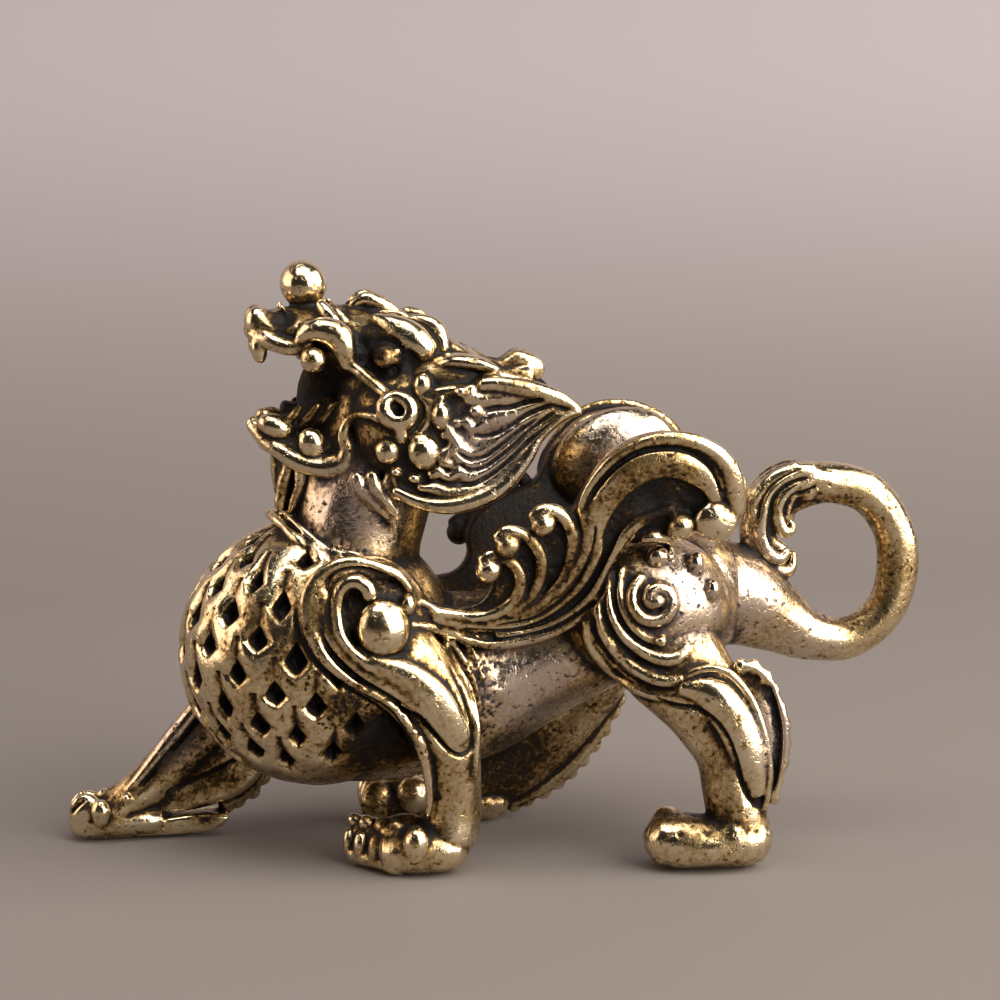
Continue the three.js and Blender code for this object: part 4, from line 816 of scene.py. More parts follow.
# Chasing: grooves, pits and dents cut into the skin with a graver

class Skin:
    # the skin's points and facings, and how deep each point is to be cut
    def __init__(self, mesh):
        self.points = readPoints(mesh)
        self.facing = readPoints(mesh, "normal")
        self.cut = np.zeros(len(self.points))
        self.raised = np.zeros(len(self.points))
        self.dark = np.zeros(len(self.points))

    def finish(self, mesh):
        writePoints(mesh, self.points + self.facing * (self.raised - self.cut)[:, None])

    def near(self, low, high, side, flank):
        # points of one flank that face one side, between two corners of the side view
        x, y, z = self.points.T
        there = (x > low[0]) & (x < high[0]) & (z > low[1]) & (z < high[1])
        return np.where(there & (y * flank > 0) & (self.facing[:, 1] * side > 0.15))[0]


def groove(skin, line, width, depth, side, flank, reach, dark, steps=6):
    # a soft V along a line of the side view, only where the skin lies as far out as reach says
    count = steps * (len(line) - 1)
    path = np.array([spline(line, i / count) for i in range(count + 1)])
    here = skin.near(path.min(axis=0) - 2 * width, path.max(axis=0) + 2 * width, side, flank)
    out = np.abs(skin.points[here, 1])
    here = here[(out > reach[0]) & (out < reach[1])]
    if not len(here):
        return
    flat = skin.points[here][:, (0, 2)]
    nearest = np.full(len(here), 1e9)
    along = np.zeros(len(here))
    for i, (a, b) in enumerate(zip(path, path[1:])):
        run = b - a
        t = np.clip((flat - a) @ run / (run @ run), 0, 1)
        gap = np.linalg.norm(flat - a - t[:, None] * run, axis=1)
        closer = gap < nearest
        nearest[closer] = gap[closer]
        along[closer] = (i + t[closer]) / count
    fade = ease(along / 0.12) * ease((1 - along) / 0.12)
    bite = depth * np.exp(-((nearest / (0.5 * width)) ** 2)) * fade
    atLeast(skin.cut, here, bite)
    atLeast(skin.dark, here, dark * bite / depth)


def bothGrooves(skin, line, width, depth, reach, dark):
    for side in (-1, 1):
        groove(skin, line, width, depth, side, side, reach, dark)


def dent(skin, centre, radius, depth, dark):
    gap = np.linalg.norm(skin.points - np.array(centre), axis=1) / radius
    here = np.where(gap < 1)[0]
    bite = ease(1 - gap[here])
    atLeast(skin.cut, here, depth * bite)
    atLeast(skin.dark, here, dark * ease(1.6 * (1 - gap[here])))


scales = {
    # the net of pits, in degrees round the chest and above its middle: the first pit, then the steps to the
    # next one in its row and in its column; the other sizes are in mm
    "first": (223, 25),
    "across": (17, -10),
    "down": (-9, -15),
    "width": 1.5,
    "height": 2.08,
    "depth": 0.95,
    "basin": 0.25,
    "lip": 0.1,
    "rise": 7.2,  # degrees that the outermost rows bend up, towards the shoulder and towards the collar
    "turns": (178, 285),
    "heights": (-52, 62),
    "jitter": 0.15,  # share by which the pits differ in size and depth
    "offChest": 0.04,  # share of the radii that the skin may stand off the chest's egg
    "backTo": 4.5,
    # a pit's outline: how square it is and how far its broadest place lies below the middle
    "squareness": 1.2,
    "sag": 0.22,
    # in half sizes of the pit: where it and its basin end and how softly, where the lip lies and how wide
    "pitEdge": (1.04, 0.45),
    "basinEdge": (1.85, 0.95),
    "lipPlace": (1.32, 0.22),
    "dark": (0.3, 0.25),  # mm of depth that is black, and what the basin adds
}


def cutScales(skin):
    # a sunk drop between each four scales: pointed above, broad below, with a bright lip under it; each lies
    # in a soft basin, so that a rounded net stands between them
    centre, radii = np.array(chest["centre"]), np.array(chest["radii"])
    local = (skin.points - centre) / radii
    reach = np.linalg.norm(local, axis=1)
    onChest = (np.abs(reach - 1) < scales["offChest"]) & (skin.points[:, 0] < centre[0] + scales["backTo"])
    here = np.where(onChest)[0]
    out = local[here] / reach[here][:, None]
    facing = np.einsum("ij,ij->i", skin.facing[here], out)
    here, out = here[facing > 0.8], out[facing > 0.8]
    depth, basin, lip = np.zeros((3, len(here)))
    (lowTurn, highTurn), (lowest, highest) = scales["turns"], scales["heights"]
    (pitEnd, pitFade), (basinEnd, basinFade) = scales["pitEdge"], scales["basinEdge"]
    square, sag, (lipAt, lipWide) = scales["squareness"], scales["sag"], scales["lipPlace"]
    rng = np.random.default_rng(7)
    for p in range(-6, 9):
        for q in range(-6, 7):
            turn = scales["first"][0] + scales["across"][0] * p + scales["down"][0] * q
            height = scales["first"][1] + scales["across"][1] * p + scales["down"][1] * q
            height += scales["rise"] * (ease((p - 1.4) / 1.6) + ease(-q - 1))
            if not (lowTurn <= turn <= highTurn and lowest <= height <= highest):
                continue
            turn = max(turn, 180)  # those of the middle row meet their mirror images
            wide, tall, deep = 1 + rng.uniform(-scales["jitter"], scales["jitter"], 3)
            for mirror in (1, -1):
                a, h = radians(turn), radians(height)
                aim = np.array((cos(a) * cos(h), mirror * sin(a) * cos(h), sin(h)))
                east = np.array((-sin(a), mirror * cos(a), 0))
                north = np.cross(aim, east) * mirror
                north = north if north[2] > 0 else -north
                close = np.where(out @ aim > 0.965)[0]
                if not len(close):
                    continue
                d = (out[close] - aim) * radii
                shrink = 0.45 + 0.55 * cos(h)
                u = np.abs(d @ east) / (scales["width"] / 2 * shrink * wide)
                v = (d @ north) / (scales["height"] / 2 * tall)
                v = v + sag - sag * v * v
                spread = (u ** square + np.abs(v) ** square) ** (1 / square)
                under = np.exp(-(((spread - lipAt) / lipWide) ** 2)) * ease(-v / 0.5)
                pit = scales["depth"] * deep * ease((pitEnd - spread) / pitFade)
                atLeast(depth, close, pit)
                atLeast(basin, close, ease((basinEnd - spread) / basinFade))
                atLeast(lip, close, scales["lip"] * under)
    atLeast(skin.cut, here, depth + scales["basin"] * basin)
    atLeast(skin.raised, here, lip)
    atLeast(skin.dark, here, ease(depth / scales["dark"][0] + scales["dark"][1] * basin))
    print("scale pits cut")


chasing = {
    # black grooves: each place says which sides of the skin it cuts, how far out the skin lies there and
    # how dark the groove is; each line has its width and depth
    "grooves": {
        # between the bands of the shoulder scroll and on round the drop of the leg, and under its top arm
        "shoulder": {"sides": (-1, 1), "reach": (5, 11), "dark": 0.95, "lines": [
            ([(-13.25, 17.8), (-12.9, 16.6), (-12.1, 15.5), (-11.2, 14.6), (-10.4, 14.0), (-9.3, 13.35),
              (-8.2, 12.6), (-7.1, 11.75), (-6.0, 10.6), (-5.2, 9.6), (-4.5, 8.95), (-3.8, 8.75),
              (-3.2, 9.2), (-3.05, 10.5), (-3.45, 12.2), (-4.15, 13.9), (-5.0, 15.4)], 0.28, 0.4),
            ([(-7.6, 19.9), (-8.3, 20.6), (-9.1, 21.0), (-10.1, 21.4), (-11.1, 21.45), (-11.9, 21.25),
              (-12.5, 20.7), (-12.75, 20.1)], 0.3, 0.3),
            ([(-14.75, 19.6), (-14.7, 17.7), (-14.1, 16.1), (-13.1, 14.8), (-11.7, 13.7), (-10.3, 12.9),
              (-8.9, 12.1), (-8.1, 11.0), (-7.4, 9.8), (-6.9, 8.4)], 0.4, 0.25),
        ]},
        "wing": {"sides": (-1, 1), "reach": (5.5, 11), "dark": 0.95, "lines": [
            ([(4.6, 25.6), (5.2, 26.8), (6.3, 28.1), (7.7, 29.0), (9.3, 29.35), (10.9, 29.2), (12.2, 28.5),
              (13.0, 27.6), (13.5, 26.4), (13.6, 25.7)], 0.26, 0.35),
            ([(5.15, 24.3), (5.1, 22.6), (4.6, 21.1), (3.7, 19.5), (2.5, 18.35), (1.0, 17.5),
              (-1.5, 17.1)], 0.2, 0.25),
            ([(6.9, 23.9), (6.2, 22.2), (5.5, 20.6), (4.7, 19.2), (3.4, 18.0), (1.6, 17.1), (-1.0, 16.7),
              (-4.0, 17.0)],
             0.24, 0.3),
            ([(8.0, 23.8), (7.1, 22.2), (6.3, 20.6), (5.5, 18.9), (4.3, 17.8), (2.6, 16.8), (0.6, 16.3),
              (-1.6, 16.1), (-4.2, 16.7)], 0.22, 0.28),
        ]},
        "leg": {"sides": (-1,), "reach": (7, 11), "dark": 0.95, "lines": [
            ([(9.2, 12.3), (10.5, 11.7), (12.0, 11.5), (13.2, 10.8), (14.1, 9.6), (14.7, 8.0), (15.2, 6.2),
              (15.9, 5.0), (16.7, 4.3)], 0.26, 0.24),
            ([(17.1, 13.0), (17.6, 11.2), (17.9, 9.2), (17.75, 7.2), (17.4, 5.4)], 0.5, 0.25),
        ]},
        # on the face of the far front leg that looks inwards
        "farLeg": {"sides": (-1,), "flank": 1, "reach": (2, 6), "dark": 0.9, "lines": [
            ([(-20.2, 9.3), (-21.2, 8.4), (-22.2, 7.2), (-23.3, 6.1), (-24.3, 4.9),
              (-25.3, 3.8)], 0.3, 0.25),
            ([(-17.8, 6.0), (-19.3, 5.1), (-20.9, 4.4), (-22.1, 3.9), (-23.5, 3.3)], 0.26, 0.22),
            ([(-29.0, 3.3), (-29.6, 2.8), (-30.3, 2.0)], 0.3, 0.3),
        ]},
        "tail": {"sides": (-1, 1), "reach": (0.3, 3), "dark": 0.9, "lines": [
            ([(21.7, 26.0), (20.3, 25.6), (19.2, 24.7), (18.85, 23.4), (18.8, 22.0),
              (19.2, 21.0)], 0.22, 0.25),
            ([(21.0, 26.6), (19.8, 26.1), (18.8, 25.3), (18.15, 24.2), (18.0, 22.9)], 0.2, 0.2),
            ([(22.2, 25.4), (21.4, 25.0), (20.5, 24.7), (20.0, 23.9), (20.0, 23.1)], 0.2, 0.2),
        ]},
    },
    # between the strands of the mane, between the rings of the hip and round each eye: width, depth, how far
    # out the skin lies and how dark
    "maneLine": (0.24, 0.26, (6.3, 9), 0.9),
    "hipLine": (0.24, 0.25, (4, 11), 0.85),
    "eyeLine": (0.5, 0.35, (2, 7), 0.95),
    "eye": ((-8.5, 35.15), 1.15),
    # hollows between the toes of the near hind foot: centre, radius, depth, how dark
    "footDents": [((10.9, -9.9, 3.0), 0.5, 0.3, 1.0), ((12.9, -10.0, 3.1), 0.5, 0.3, 1.0)],
    # dents of both flanks, in the same terms
    "dents": [
        ((-15.0, 1.9, 37.3), 1.25, 0.75, 0.95),
        ((-13.6, 2.9, 33.5), 1.7, 0.5, 0.8),
        ((-9.9, 4.3, 36.0), 0.95, 0.35, 0.9),
        ((-6.9, 4.9, 35.0), 1.0, 0.4, 0.9),
        ((-7.75, 7.0, 31.75), 0.46, 0.6, 1.0),
        ((8.9, 8.6, 25.9), 1.8, 0.3, 0.7),
    ],
}


def between(upper, lower):
    # the line half way between two lines
    return [((a[0] + b[0]) / 2, (a[1] + b[1]) / 2) for a, b in zip(upper, lower)]


def chase(mesh):
    skin = Skin(mesh)
    wander(skin)
    cutScales(skin)
    for place in chasing["grooves"].values():
        for line, width, depth in place["lines"]:
            for side in place["sides"]:
                flank = place.get("flank", side)
                groove(skin, line, width, depth, side, flank, place["reach"], place["dark"])
    for upper, lower in zip(mane["strands"], mane["strands"][1:]):
        bothGrooves(skin, between(upper, lower)[2:], *chasing["maneLine"])
    for inner, outer in zip(hip["arcs"], hip["arcs"][1:]):
        bothGrooves(skin, between(inner, outer), *chasing["hipLine"])
    (x, z), radius = chasing["eye"]
    overlap = 0.6  # radians past a full turn at either end, where the groove fades
    turns = np.linspace(-overlap, 2 * pi + overlap, 16)
    bothGrooves(skin, [(x + radius * cos(a), z + radius * sin(a)) for a in turns], *chasing["eyeLine"])
    for (x, y, z), *cut in chasing["dents"]:
        for side in (-1, 1):
            dent(skin, (x, y * side, z), *cut)
    for centre, *cut in chasing["footDents"]:
        dent(skin, centre, *cut)
    lowGroundAndInnerShade(skin)
    peck(skin)
    skin.points[:, 2] = np.maximum(skin.points[:, 2], 0)
    sole = skin.points[:, 2] < 0.02
    skin.cut[sole] = 0
    skin.raised[sole] = 0
    skin.finish(mesh)
    print("chased")
    return skin.dark


def wander(skin):
    # slow unevenness of a form shaped by hand
    rng = np.random.default_rng(3)
    moved = np.zeros(len(skin.points))
    for _ in range(casting["waves"]):
        wave = rng.normal(size=3)
        wave *= 2 * pi / rng.uniform(*casting["waveMm"]) / np.linalg.norm(wave)
        moved += np.sin(skin.points @ wave + rng.uniform(0, 2 * pi))
    skin.points += skin.facing * (moved * casting["wobble"] / 3)[:, None]


ground = {
    # places pecked with a punch: centre, radius, strokes, and whether only dark ground was
    "places": [
        ((-10.2, -8.2, 18.4), 2.9, 220, True),
        ((-2.4, -6.0, 12.6), 2.2, 60, False),
        ((-2.2, -6.0, 15.4), 1.8, 45, False),
        ((-2.6, -6.0, 9.6), 1.8, 45, False),
        ((8.6, -8.4, 25.8), 3.4, 170, True),
        ((1.8, -7.6, 21.0), 3.2, 140, True),
        ((-6.6, -6.4, 13.0), 1.2, 14, False),
        ((-9.2, -8.0, 9.6), 3.2, 200, False),
        ((-14.9, -8.6, 15.2), 1.9, 90, False),
        ((-12.0, -8.8, 12.4), 2.1, 110, False),
        ((-9.2, -5.4, 33.9), 1.8, 70, True),
        ((-4.6, -6.6, 29.8), 3.2, 110, True),
    ],
    "stroke": 0.2,
    "depth": 0.12,
    "haze": 0.28,  # how dark a pecked place is between the strokes
    # low ground and how dark it is: the wings' face (mm above and below it, each with its fade) and the
    # ground round the boss of the shoulder; the wings' inner face, turned to the body, is darkened as
    # painted shade (clean round the middle of the arch)
    "wingFace": {"dark": 0.78, "above": (0.08, 0.14), "below": (0.8, 0.2), "out": 5.5, "fromX": -3.6},
    "wingInnerShade": {"dark": 0.75, "middle": (9.8, 28.0), "clean": 3.2, "fade": 3.0, "deep": 3.6, "out": 4.2,
                 "x": (-6.5, 15), "fromZ": 17.5},
    "boss": {"dark": 0.6, "middle": (-10.0, 18.6), "radius": 3.4, "top": 9.15, "fade": 0.35, "out": 6},
}


def within(x, z, outline):
    # whether points of the side view lie inside a closed outline
    inside = np.zeros(len(x), bool)
    for (ax, az), (bx, bz) in zip(outline, outline[1:] + outline[:1]):
        if az != bz:
            inside ^= ((az > z) != (bz > z)) & (x < (bx - ax) * (z - az) / (bz - az) + ax)
    return inside


def lowGroundAndInnerShade(skin):
    # the patina stays thick on ground that lies lower than the relief on it, and the wings' inner faces,
    # turned to the body, get painted shade
    x, y, z = skin.points.T
    out = np.abs(y)
    face = -wing["rootY"] + wing["lean"] * (z - wing["rootZ"])
    outward = y * skin.facing[:, 1] > 0
    flat = np.abs(skin.facing[:, 1]) > 0.3

    front = ground["wingFace"]
    onFace = within(x, z, wing["outline"]) & outward & flat & (out > front["out"]) & (x > front["fromX"])
    (above, aboveFade), (below, belowFade) = front["above"], front["below"]
    low = ease((face + above - out) / aboveFade) * ease((out - face + below) / belowFade)
    skin.dark = np.maximum(skin.dark, front["dark"] * low * onFace)

    # painted shade on the wings' inner faces, which turn to the body; the middle of the arch stays clean
    back = ground["wingInnerShade"]
    inner = (x > back["x"][0]) & (x < back["x"][1]) & (z > back["fromZ"])
    inner = inner & (out > face - back["deep"]) & (out > back["out"]) & ~outward
    away = np.hypot(x - back["middle"][0], z - back["middle"][1])
    skin.dark = np.maximum(skin.dark, back["dark"] * ease((away - back["clean"]) / back["fade"]) * inner)

    boss = ground["boss"]
    away = np.hypot((x - boss["middle"][0]) / boss["radius"], (z - boss["middle"][1]) / boss["radius"])
    low = ease((boss["top"] - out) / boss["fade"]) * ease((1 - away) / 0.3) * (out > boss["out"])
    skin.dark = np.maximum(skin.dark, boss["dark"] * low)


def peck(skin):
    rng = np.random.default_rng(11)
    for centre, radius, count, onlyDark in ground["places"]:
        for side in (1, -1):
            middle = np.array((centre[0], centre[1] * side, centre[2]))
            gap = np.linalg.norm(skin.points - middle, axis=1)
            here = np.where((gap < radius) & (skin.facing[:, 1] * middle[1] > 0))[0]
            if onlyDark:
                here = here[skin.dark[here] > 0.3]
            if not len(here):
                continue
            atLeast(skin.dark, here, ground["haze"] * ease(1.5 * (1 - gap[here] / radius)))
            spots = skin.points[here[rng.integers(0, len(here), count)]]
            for spot in spots:
                away = np.linalg.norm(skin.points[here] - spot, axis=1)
                bite = ground["depth"] * np.exp(-((away / (0.7 * ground["stroke"])) ** 2))
                atLeast(skin.cut, here, bite)


# Patina: how far each point lies under its surroundings, at four widths; painted shade is laid over it

def softened(piece):
    # yields the skin's points smoothed further and further
    copy = bpy.data.objects.new("smoothed", piece.data.copy())
    bpy.context.scene.collection.objects.link(copy)
    smooth = copy.modifiers.new("soft", "SMOOTH")
    smooth.factor = 0.9
    finer = (casting["fineGrain"] / casting["grain"]) ** 2
    for passes in tone["passes"]:
        smooth.iterations = max(1, round(passes * finer))
        graph = bpy.context.evaluated_depsgraph_get()
        points = readPoints(copy.evaluated_get(graph).data)
        writePoints(copy.data, points)
        yield points
    mesh = copy.data
    bpy.data.objects.remove(copy)
    bpy.data.meshes.remove(mesh)


tone = {
    # soft round places, darkened mostly as painted shade in hollows and between parts, some as olive patina:
    # centre in mm, radius, how strong
    "paintedShadeAndPatina": [
        ((-13.6, 0, 32.6), 4.4, 0.8),
        ((-12.4, -2.4, 34.2), 2.2, 0.7),
        ((-14.9, -1.9, 37.4), 1.5, 0.75),
        ((-13.7, -2.0, 37.1), 1.1, 0.6),
        ((-9.2, -4.6, 35.8), 2.0, 0.7),
        ((-9.9, -4.6, 31.0), 2.0, 0.6),
        ((-11.0, -4.4, 32.4), 1.7, 0.85),
        ((-7.6, -5.6, 34.0), 1.2, 0.7),
        ((-9.3, -7.0, 9.2), 4.2, 0.7),
        ((-13.4, -7.6, 19.4), 3.4, 0.3),
        ((-14.5, -6.5, 14.0), 7.0, 0.16),
        ((-10.6, -8.4, 12.0), 3.2, 0.4),
        ((-17.2, -7.4, 18.2), 2.6, 0.3),
        ((-14.6, -1.0, 25.8), 1.8, 0.35),
        ((-2.6, -4.8, 21.0), 3.6, 0.5),
        ((9.4, -8.8, 25.2), 2.4, 0.6),
        ((8.6, -9.4, 27.8), 5.0, 0.34),
        ((2.4, -8.0, 20.6), 5.6, 0.32),
        ((9.4, -7.8, 18.0), 4.8, 0.12),
        ((-2.6, -6.2, 12.5), 3.2, 0.2),
        ((-9.6, -4.2, 33.4), 2.4, 0.4),
        ((-9.6, -4.8, 28.8), 2.2, 0.45),
        ((1.0, 5.0, 5.5), 5.5, 0.65),
        ((-7.6, 5.6, 2.4), 3.4, 0.4),
        ((0.5, 6.4, 33.8), 3.0, 0.3),
        ((-20.6, 4.6, 1.7), 1.2, 0.9),
        ((-20.5, 5.0, 5.5), 4.5, 0.3),
        ((25.5, 0.0, 20.0), 8.0, 0.16),
        ((12.5, -8.0, 3.8), 3.4, 0.35),
        ((10.2, -7.6, 3.6), 1.6, 0.5),
        ((-9.4, -6.0, 2.6), 1.2, 0.4),
    ],
    # sunk: for each width of hollow the depth in mm that counts in full, and its weight
    # passes: how often the skin is smoothed from one width to the next
    "sunk": [(0.032, 0.36), (0.105, 0.5), (0.22, 0.4), (0.42, 0.35)],
    "passes": (6, 28, 100, 250),
    "base": 0.44,
    "contrast": 0.58,
    # what silvery places take away: from the contrast, from the patina, and from the black of the grooves
    "silverTakes": (0.4, 0.16, 0.3),
    "silver": [
        ((11.5, -6.5, 19.0), 5.0, 0.9),
        ((-10.6, -3.6, 25.0), 4.8, 1.0),
        ((16.5, -3.0, 19.0), 5.5, 0.8),
        # the belly is lighter here also as painted light, since little lamp light reaches it from below
        ((1.5, -5.0, 12.5), 5.4, 0.9),
        ((21.5, -1.5, 14.5), 4.0, 0.4),
        ((9.6, -5.6, 28.0), 4.4, 0.8),
        ((17.8, -8.4, 9.6), 4.0, 0.8),
        ((-1.6, -7.4, 29.6), 4.6, 0.75),
        ((-23.0, 4.4, 7.6), 3.2, 0.8),
    ],
}


def strongest(points, spheres):
    # soft round places on both flanks; where two meet, the stronger one counts
    total = np.zeros(len(points))
    for (x, y, z), radius, strength in spheres:
        for side in (1, -1):
            gap = np.linalg.norm(points - np.array((x, y * side, z)), axis=1) / radius
            total = np.maximum(total, strength * ease(1.4 * (1 - gap)))
    return total


def layPatinaAndShade(piece, dark):
    mesh = piece.data
    points, facing = readPoints(mesh), readPoints(mesh, "normal")
    hollow = [np.einsum("ij,ij->i", soft - points, facing) for soft in softened(piece)]
    print("hollows:", [[round(float(np.percentile(h, p)), 4) for p in (2, 25, 50, 75, 98)] for h in hollow])
    silver = strongest(points, tone["silver"])
    sunk = sum(h / reach * weight for h, (reach, weight) in zip(hollow, tone["sunk"]))
    calm, pale, clean = tone["silverTakes"]
    patina = ease(tone["base"] + tone["contrast"] * sunk * (1 - calm * silver) - pale * silver)
    # the chased darkness, with the painted shade of the wings' inner faces, and the painted shade of the
    # round places go over the patina
    patina = 1 - (1 - patina) * (1 - dark * (1 - clean * silver)) * (1 - strongest(points, tone["paintedShadeAndPatina"]))
    for name, values in (("patina", patina), ("silver", silver)):
        layer = mesh.attributes.new(name, "FLOAT", "POINT")
        layer.data.foreach_set("value", values.astype(np.float32))
    print("patina laid:", [round(float(np.percentile(patina, p)), 3) for p in (5, 25, 50, 75, 95)])


def thin(piece):
    faces = sum(len(p.vertices) - 2 for p in piece.data.polygons)
    decimate = piece.modifiers.new("decimate", "DECIMATE")
    decimate.ratio = min(1, casting["mostTriangles"] / faces)
    decimate.use_collapse_triangulate = True
    bake(piece)
    print("thinned:", faces, "to", len(piece.data.polygons), "triangles")


# Brass

def linear(hexColour):
    parts = [int(hexColour[i:i + 2], 16) / 255 for i in (1, 3, 5)]
    return [p / 12.92 if p <= 0.04045 else ((p + 0.055) / 1.055) ** 2.4 for p in parts] + [1]


def addNode(tree, kind, settings=None, links=None):
    node = tree.nodes.new(kind)
    for name, value in (settings or {}).items():
        if isinstance(name, int):
            node.inputs[name].default_value = value
        elif hasattr(node, name):
            setattr(node, name, value)
        else:
            node.inputs[name].default_value = value
    for name, source in (links or {}).items():
        tree.links.new(source, node.inputs[name])
    return node


brass = {
    # from rubbed metal to the sulphur-black ground of the hollows; the dark end also colours the painted
    # shade
    "tones": [(0.0, "#E8D6B2"), (0.27, "#C3A87A"), (0.43, "#8C7147"), (0.57, "#513F28"), (0.74, "#241910"),
              (1.0, "#0D0907")],
    "silver": "#C0B3B5",
    "silverShare": 0.7,
    # sizes of the spots; the unevenness that specks and blotches give
    "speckMm": 0.16,
    "grainMm": 0.26,
    "blotchMm": 1.3,
    "uneven": (1.0, 0.95),
    "pinholes": {"From Min": 0.57, "From Max": 0.68, "To Min": 0.0, "To Max": 0.34},
    "roughness": {"From Min": 0.1, "From Max": 0.85, "To Min": 0.17, "To Max": 0.6},
    "metallic": {"From Min": 0.6, "From Max": 0.95, "To Min": 1.0, "To Max": 0.5},
    # the fine relief: its strength, its height, and what clean metal and blotches have of it
    "bump": 0.6,
    "bumpMm": 0.08,
    "bumpShares": (0.3, 0.9),
}


def antiqueBrass():
    # antique cast brass: blackened with liver of sulphur, then rubbed back, so that high places are bright
    # and yellow, broad low ones olive and speckled, and hollows near black and dull
    material = bpy.data.materials.new("antiqueCastBrass")
    material.use_nodes = True
    tree = material.node_tree
    tree.nodes.clear()
    place = addNode(tree, "ShaderNodeTexCoord").outputs["Object"]

    def noise(spotMm, detail):
        # a cell of the noise is two spots wide, and the coordinates are metres
        settings = {"Scale": 0.5 / (spotMm * mm), "Detail": detail, "Roughness": 0.62}
        return addNode(tree, "ShaderNodeTexNoise", settings, {"Vector": place}).outputs["Fac"]

    speck = noise(brass["speckMm"], 3)
    grain = noise(brass["grainMm"], 3)
    blotch = noise(brass["blotchMm"], 5)
    # the first attribute is the patina of the hollows with painted shade laid over it (mouth, eye sockets,
    # under the wings, between the legs)
    patina = addNode(tree, "ShaderNodeAttribute", {"attribute_name": "patina"}).outputs["Fac"]
    silver = addNode(tree, "ShaderNodeAttribute", {"attribute_name": "silver"}).outputs["Fac"]

    def maths(operation, a, b, clamp=False):
        node = addNode(tree, "ShaderNodeMath", {"operation": operation, "use_clamp": clamp})
        for slot, value in zip(node.inputs, (a, b)):
            if isinstance(value, (int, float)):
                slot.default_value = value
            else:
                tree.links.new(value, slot)
        return node.outputs[0]

    parts = [maths("MULTIPLY", maths("SUBTRACT", spot, 0.5), share)
             for spot, share in zip((speck, blotch), brass["uneven"])]
    uneven = maths("ADD", *parts)
    # pinholes of the casting hold the patina as small dark spots
    pinholes = addNode(tree, "ShaderNodeMapRange", brass["pinholes"], {"Value": grain}).outputs["Result"]
    spots = maths("MULTIPLY", pinholes, maths("ADD", silver, 1.0))
    ageAndShade = maths("ADD", maths("ADD", patina, uneven), spots, clamp=True)
    ramp = addNode(tree, "ShaderNodeValToRGB", None, {"Fac": ageAndShade})
    steps = ramp.color_ramp.elements
    for step, (position, colour) in zip((steps[0], steps[1]), (brass["tones"][0], brass["tones"][-1])):
        step.position, step.color = position, linear(colour)
    for position, colour in brass["tones"][1:-1]:
        steps.new(position).color = linear(colour)
    rubbed = maths("MULTIPLY", maths("SUBTRACT", 1.0, ageAndShade, clamp=True), brass["silverShare"])
    settings = {"data_type": "RGBA", 7: linear(brass["silver"])}
    links = {0: maths("MULTIPLY", silver, rubbed), 6: ramp.outputs["Color"]}
    pale = addNode(tree, "ShaderNodeMix", settings, links)
    rough = addNode(tree, "ShaderNodeMapRange", brass["roughness"], {"Value": ageAndShade})
    metal = addNode(tree, "ShaderNodeMapRange", brass["metallic"], {"Value": ageAndShade})
    clean, blotched = brass["bumpShares"]
    pitted = maths("MULTIPLY", speck, maths("ADD", patina, clean))
    height = maths("ADD", pitted, maths("SUBTRACT", maths("MULTIPLY", blotch, blotched), pinholes))
    settings = {"Strength": brass["bump"], "Distance": brass["bumpMm"] * mm}
    bump = addNode(tree, "ShaderNodeBump", settings, {"Height": height})
    shader = addNode(tree, "ShaderNodeBsdfPrincipled", None, {
        "Base Color": pale.outputs[2],
        "Roughness": rough.outputs["Result"],
        "Metallic": metal.outputs["Result"],
        "Normal": bump.outputs["Normal"],
    })
    addNode(tree, "ShaderNodeOutputMaterial", None, {"Surface": shader.outputs["BSDF"]})
    return material


# Stage, light and camera

studio = {
    # degrees and metres; the lens in mm
    "azimuth": -8.0,
    "elevation": 8.5,
    "distance": 0.190,
    "aim": (0, 0, 0.0246),
    "lens": 98.5,
    "floor": "#736B66",
    "wall": "#958C8F",
    "wallAt": 0.22,
    "wallHeight": 0.5,
    "halfWidth": 0.9,
    "reach": 0.9,
    "bend": 0.12,
    "blend": 0.06,  # height at which the floor's colour has turned into the wall's
    "room": "#8A8078",
    "roomStrength": 0.08,
    "lit": (0, 0, 0.02),  # what the lights look at
}


def stagePaint():
    # one matt paint, its floor colour running softly into that of the wall
    made = bpy.data.materials.new("stagePaint")
    made.use_nodes = True
    tree = made.node_tree
    place = addNode(tree, "ShaderNodeTexCoord").outputs["Object"]
    height = addNode(tree, "ShaderNodeSeparateXYZ", None, {"Vector": place}).outputs["Z"]
    settings = {"From Min": 0.0, "From Max": studio["blend"], "interpolation_type": "SMOOTHSTEP"}
    share = addNode(tree, "ShaderNodeMapRange", settings, {"Value": height}).outputs["Result"]
    settings = {"data_type": "RGBA", 6: linear(studio["floor"]), 7: linear(studio["wall"])}
    mixed = addNode(tree, "ShaderNodeMix", settings, {0: share})
    shader = tree.nodes["Principled BSDF"]
    shader.inputs["Roughness"].default_value = 0.8
    tree.links.new(mixed.outputs[2], shader.inputs["Base Color"])
    return made


def stage():
    # a floor that bends up into a plain wall behind the figure
    mesh = bpy.data.meshes.new("floor")
    bm = bmesh.new()
    half, at, bend = studio["halfWidth"], studio["wallAt"], studio["bend"]
    profile = [(-studio["reach"], 0), (at - bend, 0)]
    profile += [(at - bend + bend * sin(a), bend - bend * cos(a)) for a in np.linspace(0, pi / 2, 13)[1:]]
    profile.append((at, studio["wallHeight"]))
    corners = [bm.verts.new((-half, y, z)) for y, z in profile]
    edges = [bm.edges.new(pair) for pair in zip(corners, corners[1:])]
    drawn = bmesh.ops.extrude_edge_only(bm, edges=edges)["geom"]
    bmesh.ops.translate(bm, vec=(2 * half, 0, 0), verts=only(drawn, BMVert))
    bmesh.ops.recalc_face_normals(bm, faces=bm.faces[:])
    for face in bm.faces:
        face.smooth = True
    bm.to_mesh(mesh)
    bm.free()
    floor = bpy.data.objects.new("floor", mesh)
    bpy.context.scene.collection.objects.link(floor)
    mesh.materials.append(stagePaint())


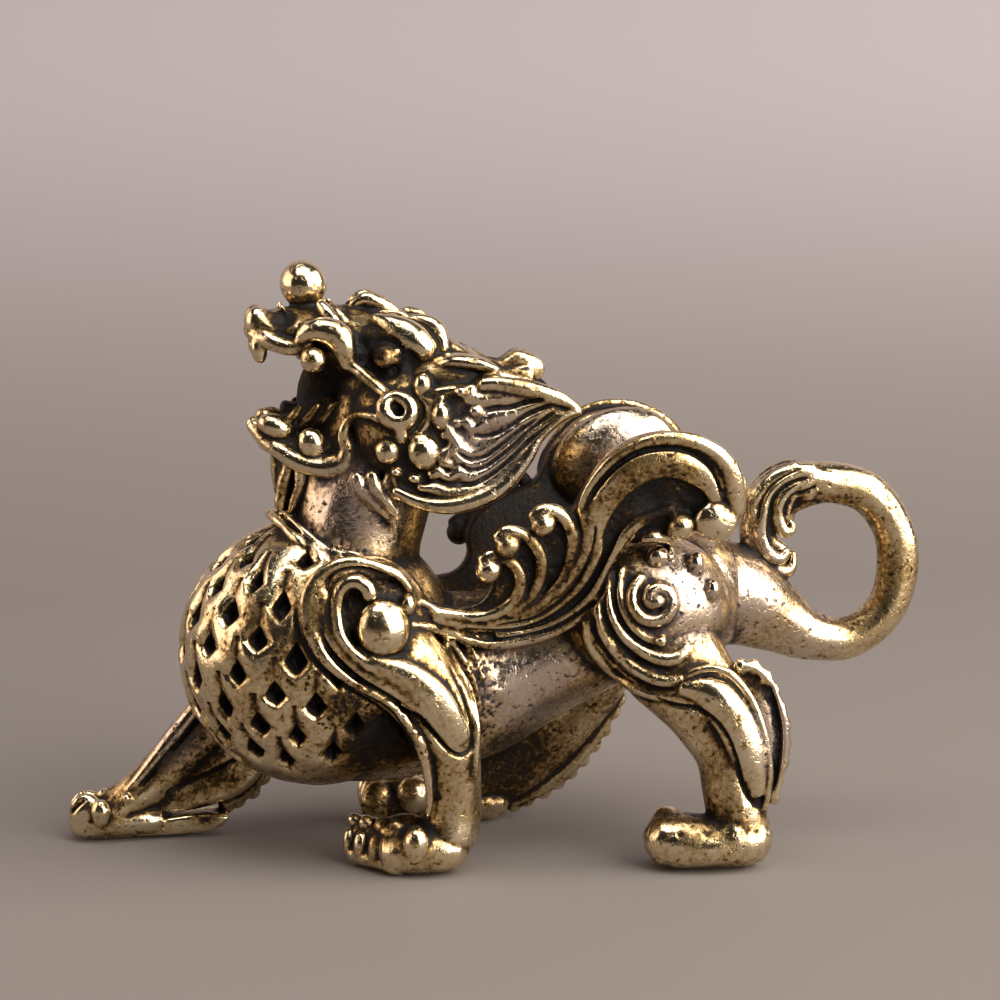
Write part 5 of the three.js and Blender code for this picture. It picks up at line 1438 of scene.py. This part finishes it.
lights = {
    # direction from the figure as azimuth and elevation in degrees, distance, width, height, watts, colour
    "rightSoftBox": (56, 27, 0.42, 0.56, 0.46, 5.2, "#FFFAF2"),
    "leftSoftBox": (-103, 18, 0.40, 0.50, 0.36, 1.1, "#FFE9D6"),
    "topSoftBox": (-10, 74, 0.40, 0.34, 0.26, 1.1, "#FFFFFF"),
}


def direction(azimuth, elevation):
    # from the figure outwards; azimuth 0 looks at the near flank
    az, el = radians(azimuth), radians(elevation)
    return Vector((sin(az) * cos(el), -cos(az) * cos(el), sin(el)))


def lightUp():
    world = bpy.data.worlds.new("darkRoom")
    bpy.context.scene.world = world
    bpy.context.scene.view_settings.view_transform = "Standard"
    world.use_nodes = True
    background = world.node_tree.nodes["Background"]
    background.inputs["Color"].default_value = linear(studio["room"])
    background.inputs["Strength"].default_value = studio["roomStrength"]
    for name, (azimuth, elevation, distance, width, height, watts, colour) in lights.items():
        away = direction(azimuth, elevation)
        light = bpy.data.lights.new(name, "AREA")
        light.shape = "RECTANGLE"
        light.size, light.size_y = width, height
        light.energy = watts
        light.color = linear(colour)[:3]
        lamp = bpy.data.objects.new(name, light)
        lamp.location = Vector(studio["lit"]) + away * distance
        lamp.rotation_euler = (-away).to_track_quat("-Z", "Y").to_euler()
        bpy.context.scene.collection.objects.link(lamp)


def aimCamera():
    back = direction(studio["azimuth"], studio["elevation"])
    data = bpy.data.cameras.new("camera")
    data.lens = studio["lens"]
    data.sensor_width = 36
    data.clip_start = 0.01
    camera = bpy.data.objects.new("camera", data)
    camera.location = Vector(studio["aim"]) + back * studio["distance"]
    camera.rotation_euler = (-back).to_track_quat("-Z", "Y").to_euler()
    bpy.context.scene.collection.objects.link(camera)
    bpy.context.scene.camera = camera


def castPixiu():
    made = runTogether(drawForms())
    layPatinaAndShade(made, chase(made.data))
    thin(made)
    low, high = (np.array(corner) for corner in cadBox)
    writePoints(made.data, np.clip(readPoints(made.data) * mm, low, high))
    for polygon in made.data.polygons:
        polygon.use_smooth = True
    made.data.materials.clear()
    made.data.materials.append(antiqueBrass())
    return made


piece = castPixiu()
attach(piece, "root")
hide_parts("pixiu_figurine")
stage()
lightUp()
aimCamera()
